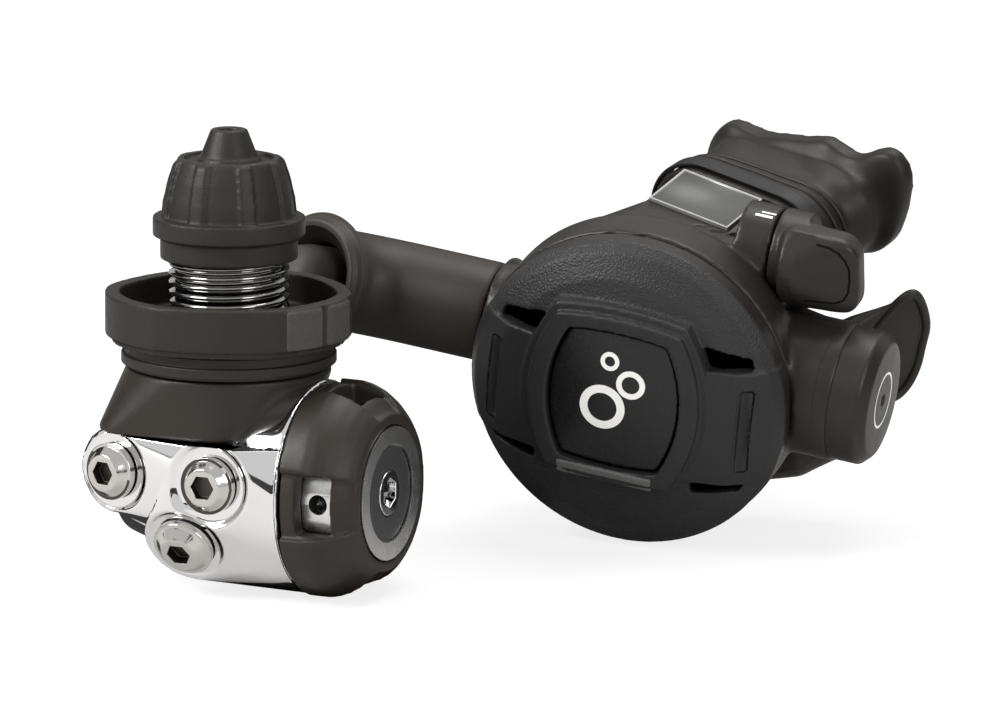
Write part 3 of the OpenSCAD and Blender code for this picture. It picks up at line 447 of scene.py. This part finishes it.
# rubber shroud as one full form down to the ports
shroud = {"top": (19.4, (20.5, 21.7)), "corners": ((-13.5, -13), (-13.5, 13), (4.5, -13), (4.5, 13)), "corner": 6.5,
          "low": (10.3, 11.3), "sides": 72, "voxel": 0.35, "passes": 8}
bm = bmesh.new()
rims = [((0, 0), *shroud["top"])] + [(c, shroud["corner"], shroud["low"]) for c in shroud["corners"]]
for (x, y), radius, levels in rims:
    for z in levels:
        bmesh.ops.create_circle(bm, cap_ends=False, segments=shroud["sides"], radius=radius * mm,
                                matrix=firstFrame @ shift((x, y, z)))
bmesh.ops.convex_hull(bm, input=bm.verts)
dropLoose(bm)
piece = addPiece("rubberShroud", bm, softRubber, "set", ("top_shroud",))
addSkin(piece, shroud["voxel"])
addSmooth(piece, shroud["passes"])
settle(piece)

# painted shade in the plugs' sockets: faces inside each socket take a darker metal
socket = {"radius": 2.6, "low": -5, "high": 3.0}
for node in ("lp_plugs", "high_plugs"):
    made[node].data.materials.append(socketShade)
    for face in made[node].data.polygons:
        for port in portFrames.values():
            spot = port.inverted() @ (firstBack @ face.center / mm)
            if math.hypot(spot.x, spot.y) < socket["radius"] and socket["low"] < spot.z < socket["high"]:
                face.material_index = 1
print("cast front made")

# tank connector: thread cut as a screw on its core
connector = {"core": ((8.3, 50.0), (10.3, 50.0), (10.3, 30.0), (9.9, 30.0), (9.9, 27.2), (7.1, 27.2), (7.1, 30.0),
                      (8.3, 30.0)), "sides": 96,
             "ridge": ((10.2, 0.0), (11.3, 0.34), (11.42, 0.46), (11.42, 0.56), (11.3, 0.68), (10.2, 1.0)),
             "pitch": 1.814, "low": 30.2, "high": 42.9, "steps": 64}
bm = bmesh.new()
spinProfile(bm, [(r * mm, 0, z * mm) for r, z in connector["core"]], (0, 0, 0), (0, 0, 1), connector["sides"])
pitch = connector["pitch"]
turns = int((connector["high"] - connector["low"]) / pitch)
ridge = [bm.verts.new((r * mm, 0, (connector["low"] + t * pitch) * mm)) for r, t in connector["ridge"]]
line = [bm.edges.new(pair) for pair in zip(ridge, ridge[1:])]
bmesh.ops.spin(bm, geom=ridge + line, cent=(0, 0, 0), axis=(0, 0, 1), angle=2 * math.pi * turns,
               steps=connector["steps"] * turns, dvec=(0, 0, pitch * mm / connector["steps"]))
bmesh.ops.recalc_face_normals(bm, faces=bm.faces)
bmesh.ops.transform(bm, matrix=firstFrame, verts=bm.verts)
addPiece("threadedConnector", bm, threadDarkReflection, "connector", ("din_thread",), 50)
print("connector made")

# rubber sleeve over the valve's inlet, round its bend to the stepped mouth
sleeve = {"x": -50, "tilt": 24, "turn": 68, "bend": 18, "outer": 10, "bore": 6.8, "mouth": 11.7, "length": 16.7,
          "nut": 8.0, "recess": 8.8, "valve": (12, 2.5), "sides": 64, "steps": 16, "straight": (-8, 0),
          "heel": ((0, 9.6), (0.4, 9.9), (1.2, 10)),
          "lip": ((0.6, -0.9), (1.0, -0.25), (1.3, 0), (2.5, 0), (2.9, 0.25), (3.2, 0.7), (3.7, 0.8), (3.8, 1.3),
                  (3.6, 2.0), (2.2, 2.5))}
tilt = math.radians(sleeve["tilt"])
sleeveWay = Vector((0, -math.cos(tilt), math.sin(tilt)))


def sleeveStation(t, radius):
    bend = math.radians(min(max(t, 0), sleeve["turn"]))
    out = Vector((-math.sin(bend), 0, 0)) - sleeveWay * math.cos(bend)
    way = Vector((-math.cos(bend), 0, 0)) + sleeveWay * math.sin(bend)
    far = t if t < 0 else max(t - sleeve["turn"], 0)
    centre = Vector((sleeve["x"], *sleeve["valve"])) + sleeve["bend"] * (sleeveWay + out) + far * way
    return secondFrame @ (centre * mm), secondWays @ way, radius * mm


span, steps = sleeve["length"], sleeve["steps"]
route = [(a - span, b) for a, b in sleeve["heel"]] + [(t, sleeve["outer"]) for t in sleeve["straight"]]
route += [(sleeve["turn"] * k / steps, sleeve["outer"]) for k in range(1, steps + 1)]
route += [(sleeve["turn"] + a, sleeve["mouth"] - b) for a, b in sleeve["lip"]]
route += [(sleeve["turn"] * k / steps, sleeve["bore"]) for k in range(steps, -1, -1)]
route += [(sleeve["nut"] - span, sleeve["bore"]), (sleeve["nut"] - span, sleeve["recess"]), (-span, sleeve["recess"])]
addPiece("bentSleeve", sweepTube([sleeveStation(*r) for r in route], sleeve["sides"], True), sleeveRubber, "set",
         ("hose_sleeve",), 50)

# hose between the stages
hose = {"radius": 6.0, "sides": 32, "route": (
    (-6, 25.5, 36.2), (-6, 28.4, 38), (-6, 31.4, 39.8), (-6.3, 34.5, 42), (-6.9, 37.2, 44.3), (-7.7, 39.8, 46.5),
    (-8.5, 42.3, 48.4), (-9, 45, 49.8), (-9.1, 48, 50.4), (-8.6, 51.3, 50.1), (-7.8, 54.6, 49.3), (-5.7, 59.4, 48),
    (-2.4, 63.3, 46.8), (2, 66.1, 45.6), (7.1, 67.4, 44.7), (11.8, 68, 44), (16.4, 68.5, 43.3))}
points = [Vector(p) * mm for p in hose["route"]]
last = len(points) - 1
stations = [(p, (points[min(k + 1, last)] - points[max(k - 1, 0)]).normalized(), hose["radius"] * mm)
            for k, p in enumerate(points)]
addPiece("shortHose", sweepTube(stations, hose["sides"], False), sleeveRubber, "set", ("hose",), 50)
print("hose made")

# cover: grained shields, finer bands and bezel, smooth rim
coverZones = {"bezel": 12.2, "band": 12.1, "rim": 3.6}
cover = made["front_cover"].data
for material in (bandGrain, satinShell):
    cover.materials.append(material)
for face in cover.polygons:
    spot = secondBack @ face.center / mm
    if -spot.y < coverZones["rim"]:
        face.material_index = 2
    elif -spot.y > coverZones["bezel"] or abs(spot.z) < coverZones["band"]:
        face.material_index = 1

# mouthpiece: a neck before the flange, a raised ear, a tucked end, a rise and two dips along the lip's top edge
mouth = {"place": (3, 20, 17), "turn": -18, "rise": 6,
         "neck": {"share": 0.15, "sideways": 0.6, "middle": 1.5, "core": 9, "from": (20, 27), "to": (32.5, 35.2)},
         "ear": {"out": 1.8, "up": 3.4, "along": (31, 35), "across": (9, 22), "above": (2, 12)},
         "tuck": {"in": 3.0, "along": (23, 31), "across": (8, 24)},
         "edge": {"along": (29.0, 36.0), "above": (9.0, 13.0),
                  "dips": ((-9.0, 5.0, 1.2), (6.5, 4.5, -1.5), (14.5, 4.0, 1.4))}}
mouthFrame = secondFrame @ shift(mouth["place"]) @ turn(mouth["turn"], "Z") @ turn(mouth["rise"], "X")


def mouthForm(spot):
    neck, ear, tuck, edge = (mouth[key] for key in ("neck", "ear", "tuck", "edge"))
    narrow = neck["share"] * ease(spot.y, *neck["from"]) * (1 - ease(spot.y, *neck["to"]))
    if max(abs(spot.x) - neck["core"], 0) ** 2 + spot.z ** 2 > neck["core"] ** 2:
        spot.x *= 1 - narrow * neck["sideways"]
        spot.z = neck["middle"] + (spot.z - neck["middle"]) * (1 - narrow)
    corner = ease(spot.y, *ear["along"]) * ease(spot.x, *ear["across"]) * ease(spot.z, *ear["above"])
    spot.x += ear["out"] * corner
    spot.z += ear["up"] * corner
    spot.x += tuck["in"] * ease(-spot.x, *tuck["across"]) * ease(spot.y, *tuck["along"])
    share = clamped(spot.y, *edge["along"]) * clamped(spot.z, *edge["above"])
    spot.z -= share * sum(deep * math.exp(-((spot.x - at) / wide) ** 2) for at, wide, deep in edge["dips"])
    return spot


reshape(made["mouthpiece"], mouthFrame, mouthForm)

# ridges round the mouthpiece's neck, laid on its skin
ridges = {"at": {"nearRidge": 22.4, "farRidge": 25.2}, "middle": 0.8, "reach": 45, "wire": 0.6, "steps": 96,
          "sides": 12}
mouthMesh = made["mouthpiece"].data
mouthSkin = BVHTree.FromPolygons([v.co for v in mouthMesh.vertices], [p.vertices for p in mouthMesh.polygons])
for name, along in ridges["at"].items():
    rim = []
    for k in range(ridges["steps"]):
        a = 2 * math.pi * k / ridges["steps"]
        out = Vector((math.cos(a), 0, math.sin(a)))
        start = mouthFrame @ ((Vector((0, along, ridges["middle"])) + ridges["reach"] * out) * mm)
        rim.append(mouthSkin.ray_cast(start, -(mouthFrame.to_3x3() @ out))[0])
    rim = [(rim[k - 1] + 2 * rim[k] + rim[(k + 1) % len(rim)]) / 4 for k in range(len(rim))]
    addPiece(name, ringTube(rim, ridges["wire"], ridges["sides"]), mouthRubber, "set", ())

# wall over the vane's bore, where the housing is thin
wall = {"low": (2.0, 17.2, 27.27), "high": (13.0, 22.0, 27.52)}
low, high = Vector(wall["low"]), Vector(wall["high"])
bm = bmesh.new()
bmesh.ops.create_cube(bm, size=1.0,
                      matrix=secondFrame @ shift((low + high) / 2) @ Matrix.Diagonal((*((high - low) * mm), 1)))
addPiece("thinWall", bm, satinShell, "set", ())
print("mouthpiece made")

# exhaust tee: wing tip drawn out, thick lip round each mouth
# rows of a wing: x, y, z, half depth, half height and shear
wing = {"reach": 2.6, "rise": 1.4, "taper": 0.45, "middle": (41.3, 37), "lip": 1.0, "lipInset": 0.9, "lipSides": 16,
        "tip": ((33, 42), (0, 13)), "narrow": ((33, 38), (4, 14)), "steps": 72,
        "mouths": {"rightWingLip": (45.8, 37, 1.5, 5, 12, 0.9), "leftWingLip": (-41, 35, -7, 4.8, 10.5, -0.9)},
        "linings": {"wingLining": (2.1, ((28, 29, -10, 10, 16, 0), (39, 33.5, -5, 6.5, 16, 0.35),
                                         (45, 36.6, 0.8, 5.2, 12.4, 0.85))),
                    "wingSkin": (0.55, ((39, 33.5, -5, 6.5, 16, 0.35), (45.8, 37, 1.5, 5, 12, 0.9)))}}


def drawnOut(spot):
    share, near = (ease(spot.x, *ends) * ease(spot.z, *levels) for ends, levels in (wing["tip"], wing["narrow"]))
    near = 1 - wing["taper"] * near
    x, y = wing["middle"]
    return Vector((x + (spot.x - x) * near + wing["reach"] * share, y + (spot.y - y) * near,
                   spot.z + wing["rise"] * share))


def wingRing(row, inset):
    x, y, z, deep, high, shear = row
    ring = []
    for k in range(wing["steps"]):
        a = 2 * math.pi * k / wing["steps"]
        spot = Vector((x - shear * deep * (1 - math.cos(a)), y + (deep - inset) * math.cos(a),
                       z + (high - inset) * math.sin(a)))
        ring.append(secondFrame @ (drawnOut(spot) * mm))
    return ring


reshape(made["exhaust_tee"], secondFrame, drawnOut)
for name, row in wing["mouths"].items():
    addPiece(name, ringTube(wingRing(row, wing["lipInset"]), wing["lip"], wing["lipSides"]), softRubber, "set", ())

# smooth lining inside the wing beside the barrel, and a skin in its thin lower wall
for name, (inset, rows) in wing["linings"].items():
    bm = bmesh.new()
    loops = []
    for row in rows:
        ring = [bm.verts.new(q) for q in wingRing(row, inset)]
        loops.append([bm.edges.new(pair) for pair in zip(ring, ring[1:] + ring[:1])])
    for one, two in zip(loops, loops[1:]):
        bmesh.ops.bridge_loops(bm, edges=one + two)
    bmesh.ops.recalc_face_normals(bm, faces=bm.faces)
    addPiece(name, bm, softRubber, "set", ())

# dive lever: paddle with rounder corners and a soft tip
paddle = {"from": 28, "stretch": 1.12, "corners": ((33.4, 28.0, 6.6, 1), (35.2, 22.8, 4.8, -1)), "width": 0.4,
          "line": ((30.8, 33.0), (33.4, 32.8), (35.3, 32.0), (36.7, 30.6), (37.6, 28.8), (37.9, 26.4), (37.9, 24.0),
                   (37.2, 22.4), (35.7, 21.6), (29.9, 21.6)), "softFrom": 30.0, "softPasses": 45}


def paddleForm(spot):
    spot.x += max(spot.x - paddle["from"], 0) * (paddle["stretch"] - 1)
    for cx, cz, radius, way in paddle["corners"]:
        out = math.hypot(spot.x - cx, spot.z - cz)
        if spot.x > cx and way * (spot.z - cz) > 0 and out > radius:
            spot.x, spot.z = cx + (spot.x - cx) * radius / out, cz + (spot.z - cz) * radius / out
    return spot


lever = made["dive_lever"]
reshape(lever, secondFrame, paddleForm)
bm = bmesh.new()
bm.from_mesh(lever.data)
tip = [v for v in bm.verts if (secondBack @ v.co / mm).x > paddle["softFrom"]]
for _ in range(paddle["softPasses"]):
    bmesh.ops.smooth_vert(bm, verts=tip, factor=0.5, use_axis_x=True, use_axis_y=True, use_axis_z=True)
bm.to_mesh(lever.data)
bm.free()

# thin dark lines laid on a piece's front: painted shade along its grooves and slots
shadeLine = {"step": 0.4, "proud": 0.04, "start": -40}


def grooveShadeLines(name, routes, closed, width, target, body):
    bm = bmesh.new()
    into = secondWays @ Vector((0, 1, 0))
    for route in routes:
        route = [Vector(q) for q in route]
        fine = []
        for k in range(len(route) if closed else len(route) - 1):
            a, b = route[k], route[(k + 1) % len(route)]
            count = max(1, round((b - a).length / shadeLine["step"]))
            fine += [a.lerp(b, i / count) for i in range(count)]
        if not closed:
            fine.append(route[-1])
        edges = []
        for side in (-1, 1):
            row = []
            for k, q in enumerate(fine):
                ahead = fine[(k + 1) % len(fine)] if closed else fine[min(k + 1, len(fine) - 1)]
                way = (ahead - (fine[k - 1] if closed or k else q)).normalized()
                spot = q + side * width / 2 * Vector((-way.y, way.x))
                start = secondFrame @ (Vector((spot.x, shadeLine["start"], spot.y)) * mm)
                at = target.ray_cast(start, into)[1]
                row.append(bm.verts.new(at - into * shadeLine["proud"] * mm))
            ends = zip(row, row[1:] + row[:1]) if closed else zip(row, row[1:])
            edges += [bm.edges.new(pair) for pair in ends]
        bmesh.ops.bridge_loops(bm, edges=edges)
    bmesh.ops.recalc_face_normals(bm, faces=bm.faces)
    return addPiece(name, bm, grooveShade, body, ())


grooveShadeLines("leverGrooveShade", [paddle["line"]], False, paddle["width"], lever, "dive")
slots = {"at": 25.5, "half": (1.25, 8.6), "cut": 0.5, "width": 0.35}
wide, high, cut = *slots["half"], slots["cut"]
corners = ((-wide, cut - high), (-wide, high - cut), (cut - wide, high), (wide - cut, high), (wide, high - cut),
           (wide, cut - high), (wide - cut, -high), (cut - wide, -high))
grooveShadeLines("slotGrooveShade", [[(side * slots["at"] + x, z) for x, z in corners] for side in (-1, 1)], True,
            slots["width"], made["front_cover"], "set")

# button: domed face with a plain mark of three bubbles
button = {"middle": 2.4, "halfWide": 13.0, "halfHigh": 14.0, "rise": 0.9, "from": 11.6, "face": 12.8}


def domeRise(x, z):
    level = z - button["middle"]
    return button["rise"] * max(0, 1 - (x / button["halfWide"]) ** 2) * max(0, 1 - (level / button["halfHigh"]) ** 2)


def domed(spot):
    if -spot.y > button["from"]:
        spot.y -= domeRise(spot.x, spot.z)
    return spot


reshape(made["purge_button"], secondFrame, domed)

bubbles = {"rings": ((-1.9, -1.6, 4.6, 3.0), (3.4, 4.2, 2.9, 1.8), (-1.2, 8.2, 1.9, 1.05)), "sides": 48, "proud": 0.15,
           "deep": 0.5}
bm = bmesh.new()
for x, z, outer, inner in bubbles["rings"]:
    centre = Vector((x, 0, z + button["middle"])) * mm
    start = bmesh.ops.create_circle(bm, cap_ends=False, segments=bubbles["sides"], radius=outer * mm,
                                    matrix=Matrix.Translation(centre) @ turn(90, "X"))["verts"]
    grown = bmesh.ops.extrude_edge_only(bm, edges=list({e for v in start for e in v.link_edges}))["geom"]
    bmesh.ops.scale(bm, vec=(inner / outer, 1, inner / outer), verts=onlyVerts(grown),
                    space=Matrix.Translation(-centre))
for vert in bm.verts:
    vert.co.y = -(button["face"] + domeRise(vert.co.x / mm, vert.co.z / mm) + bubbles["proud"]) * mm
grown = bmesh.ops.extrude_face_region(bm, geom=bm.faces[:])["geom"]
bmesh.ops.translate(bm, vec=(0, bubbles["deep"] * mm, 0), verts=onlyVerts(grown))
bmesh.ops.transform(bm, matrix=secondFrame, verts=bm.verts)
bmesh.ops.recalc_face_normals(bm, faces=bm.faces)
addPiece("bubbleMark", bm, markWhite, "purge", (), 40)

# pale gritty bar on the bezel, under the button
bar = {"size": (19.4, 0.9, 2.9), "place": (-0.4, -13.6, -13.6), "lean": 20, "bevel": 0.35}
bm = bmesh.new()
bmesh.ops.create_cube(bm, size=1.0, matrix=Matrix.Diagonal((*[v * mm for v in bar["size"]], 1)))
bmesh.ops.bevel(bm, geom=bm.edges[:], offset=bar["bevel"] * mm, segments=3, profile=0.5, affect="EDGES", material=-1)
bmesh.ops.transform(bm, matrix=secondFrame @ shift(bar["place"]) @ turn(bar["lean"], "X"), verts=bm.verts)
addPiece("grittyBar", bm, barGrit, "set", (), 40)

# barrel's rim over the end cap's foot
barrelAxis = (12, 2.5)
barrelRim = {"profile": ((36.4, 13.25), (36.4, 13.62), (38.9, 13.62), (39.2, 13.4), (39.2, 13.25)), "steps": 96}
bm = bmesh.new()
spinProfile(bm, [(x * mm, barrelAxis[0] * mm, (barrelAxis[1] + r) * mm) for x, r in barrelRim["profile"]],
            Vector((0, *barrelAxis)) * mm, (1, 0, 0), barrelRim["steps"])
bmesh.ops.transform(bm, matrix=secondFrame, verts=bm.verts)
addPiece("barrelRim", bm, satinShell, "set", (), 40)

# end cap's printed ring and the lever's two bars
capRing = {"x": 46.82, "outer": 5.6, "inner": 5.1, "sides": 64, "proud": 0.08}
shrink = capRing["inner"] / capRing["outer"]
bm = bmesh.new()
bmesh.ops.create_circle(bm, cap_ends=False, segments=capRing["sides"], radius=capRing["outer"] * mm)
grown = bmesh.ops.extrude_edge_only(bm, edges=bm.edges[:])["geom"]
bmesh.ops.scale(bm, vec=(shrink, shrink, 1), verts=onlyVerts(grown))
bmesh.ops.solidify(bm, geom=bm.faces[:], thickness=capRing["proud"] * mm)
bmesh.ops.transform(bm, matrix=secondFrame @ shift((capRing["x"], *barrelAxis)) @ turn(90, "Y"), verts=bm.verts)
bmesh.ops.recalc_face_normals(bm, faces=bm.faces)
addPiece("capRing", bm, markWhite, "set", (), 40)

leverBars = {"axis": (18, 26.3), "radius": 8.62, "bars": ((16.8, 20.3, 66, 4.0), (17.8, 20.7, 73.5, 2.4)),
             "steps": 4, "proud": 0.12}
bm = bmesh.new()
hub = Vector((0, *leverBars["axis"])) * mm
radius = leverBars["radius"] * mm
for x0, x1, at, wide in leverBars["bars"]:
    a = math.radians(at)
    ends = [bm.verts.new((x * mm, hub.y - radius * math.cos(a), hub.z + radius * math.sin(a))) for x in (x0, x1)]
    bmesh.ops.spin(bm, geom=ends + [bm.edges.new(ends)], cent=hub, axis=(-1, 0, 0), angle=math.radians(wide),
                   steps=leverBars["steps"])
bmesh.ops.recalc_face_normals(bm, faces=bm.faces)
bmesh.ops.solidify(bm, geom=bm.faces[:], thickness=-leverBars["proud"] * mm)
bmesh.ops.transform(bm, matrix=secondFrame, verts=bm.verts)
bmesh.ops.recalc_face_normals(bm, faces=bm.faces)
addPiece("leverBars", bm, markWhite, "set", (), 40)

# bare name plate with a raised frame
plate = {"flat": 2, "frame": 0.55, "slope": 0.12, "sunk": 0.18}
bm = mergedCopy("name_plate")
bmesh.ops.dissolve_limit(bm, angle_limit=math.radians(plate["flat"]), verts=bm.verts, edges=bm.edges)
bm.faces.ensure_lookup_table()
top = max(bm.faces, key=lambda f: f.normal.z * f.calc_area())
bmesh.ops.inset_region(bm, faces=[top], thickness=plate["frame"] * mm, depth=0)
bmesh.ops.inset_region(bm, faces=[top], thickness=plate["slope"] * mm, depth=-plate["sunk"] * mm)
top.material_index = 1
piece = addPiece("barePlate", bm, frameMetal, "set", ("name_plate",), 30)
piece.data.materials.append(labelMetal)
print("marks made")

# springs in steel, each with its own mesh; the pressing by their joints is not built
springs = {"purge_spring": ("purge_press", secondWays @ Vector((0, 1, 0)), 3.0),
           "poppet_spring": ("purge_press", secondWays @ Vector((1, 0, 0)), 0.6),
           "high_spring": ("pressure_valve_slide", Vector((-1, 0, 0)), 0.5)}
for node, (joint, way, travel) in springs.items():
    piece = addPiece(node.replace("_s", "S"), mergedCopy(node), steel, bodyOf[node], (node,), 40)
    along = [v.co.dot(way) for v in piece.data.vertices]
    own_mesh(piece)

# remaining CAD pieces keep their form
dressed = ((sealRubber, ("din_seal", "plug_seals", "diaphragm", "demand_diaphragm", "exhaust_valve")),
           (chrome, ("din_stem", "inlet_nut")),
           (steel, ("main_spring", "push_pin", "high_poppet", "diaphragm_plate", "demand_lever", "valve_tube",
                    "poppet")),
           (bronze, ("inlet_filter", "spring_pad", "valve_seat", "valve_orifice", "spring_plug")),
           (bandGrain, ("venturi_vane",)))
for material, group in dressed:
    for node in group:
        nodes[node].data.materials.clear()
        nodes[node].data.materials.append(material)
print("CAD pieces dressed")


# studio: pale floor, soft lamps
def flatMesh(name, wide, high, paint):
    bm = bmesh.new()
    bmesh.ops.create_grid(bm, x_segments=1, y_segments=1, size=0.5, matrix=Matrix.Diagonal((wide, high, 1, 1)))
    mesh = bpy.data.meshes.new(name)
    bm.to_mesh(mesh)
    bm.free()
    mesh.materials.append(paint)
    return mesh


floorLook = {"size": 12.0, "glow": 1.12, "seen": 0.72, "matt": (0.8, 0.8, 0.8, 1), "reflected": (0.60, 0.59, 0.58, 1)}
floorPaint = bpy.data.materials.new("floorPaint")
floorPaint.use_nodes = True
tree = floorPaint.node_tree
tree.nodes.remove(tree.nodes["Principled BSDF"])
matt = addNode(tree, "ShaderNodeBsdfDiffuse")
glow = addNode(tree, "ShaderNodeEmission", Color=(1, 1, 1, 1), Strength=floorLook["glow"])
rays = addNode(tree, "ShaderNodeLightPath")
seen = mathNode(tree, "MULTIPLY", rays.outputs["Is Camera Ray"], floorLook["seen"])
dim = addNode(tree, "ShaderNodeMix", data_type="RGBA")
dim.inputs["A"].default_value = floorLook["matt"]
dim.inputs["B"].default_value = floorLook["reflected"]
tree.links.new(rays.outputs["Is Glossy Ray"], dim.inputs["Factor"])
tree.links.new(dim.outputs["Result"], matt.inputs["Color"])
mixer = addNode(tree, "ShaderNodeMixShader")
tree.links.new(seen, mixer.inputs["Fac"])
tree.links.new(matt.outputs[0], mixer.inputs[1])
tree.links.new(glow.outputs[0], mixer.inputs[2])
tree.links.new(mixer.outputs[0], tree.nodes["Material Output"].inputs["Surface"])
floor = linked("paleFloor", flatMesh("paleFloor", floorLook["size"], floorLook["size"], floorPaint))

skyLook = {"all": 0.4, "camera": 0.6, "glossy": 0.35}
world = bpy.data.worlds.new("studio")
world.use_nodes = True
bpy.context.scene.world = world
tree = world.node_tree
sky = tree.nodes["Background"]
rays = addNode(tree, "ShaderNodeLightPath")
direct = mathNode(tree, "MULTIPLY", rays.outputs["Is Camera Ray"], skyLook["camera"])
mirrored = mathNode(tree, "MULTIPLY", rays.outputs["Is Glossy Ray"], skyLook["glossy"])
plain = mathNode(tree, "ADD", mathNode(tree, "ADD", direct, skyLook["all"]), mirrored)
tree.links.new(plain, sky.inputs["Strength"])
sky.inputs["Color"].default_value = (1, 1, 1, 1)

lampAim = Vector((0.04, 0.04, 0.03))
lamps = {"key": ((-0.75, -0.75, 0.85), 0.7, 21), "fill": ((1.1, -0.5, 0.55), 0.6, 5),
         "top": ((0.15, 0.35, 1.2), 0.9, 9)}
for name, (place, size, power) in lamps.items():
    lampData = bpy.data.lights.new(name, "AREA")
    lampData.shape = "DISK"
    lampData.size = size
    lampData.energy = power
    lamp = linked(name, lampData)
    lamp.location = place
    lamp.rotation_euler = (lampAim - Vector(place)).to_track_quat("-Z", "Y").to_euler()

# dark cards beside and under the set, for the edges of the chrome
cardAim = Vector((0, 0, 0.03))
cards = {"left": ((-0.45, 0.05, 0.10), 0.45, 0.5), "right": ((0.6, 0.25, 0.1), 0.5, 0.5),
         "front": ((-0.27, -0.60, 0.05), 0.16, 0.16), "low": ((0.45, -0.62, -0.002), 0.5, 0.25),
         "back": ((-0.1, 0.62, 0.16), 0.7, 0.3), "under": ((-0.06, 0.0575, 0.0008), 0.19, 0.137)}
cardPaint = bpy.data.materials.new("cardPaint")
cardPaint.use_nodes = True
cardPaint.node_tree.nodes["Principled BSDF"].inputs["Base Color"].default_value = (0.01, 0.01, 0.01, 1)
for name, (place, wide, high) in cards.items():
    card = linked(name + "Card", flatMesh(name + "Card", wide, high, cardPaint))
    card.location = place
    if name != "under":
        card.rotation_euler = (cardAim - Vector(place)).to_track_quat("Z", "Y").to_euler()
    card.visible_camera = card.visible_diffuse = card.visible_shadow = False
bpy.context.scene.view_settings.view_transform = "Standard"
print("studio set")
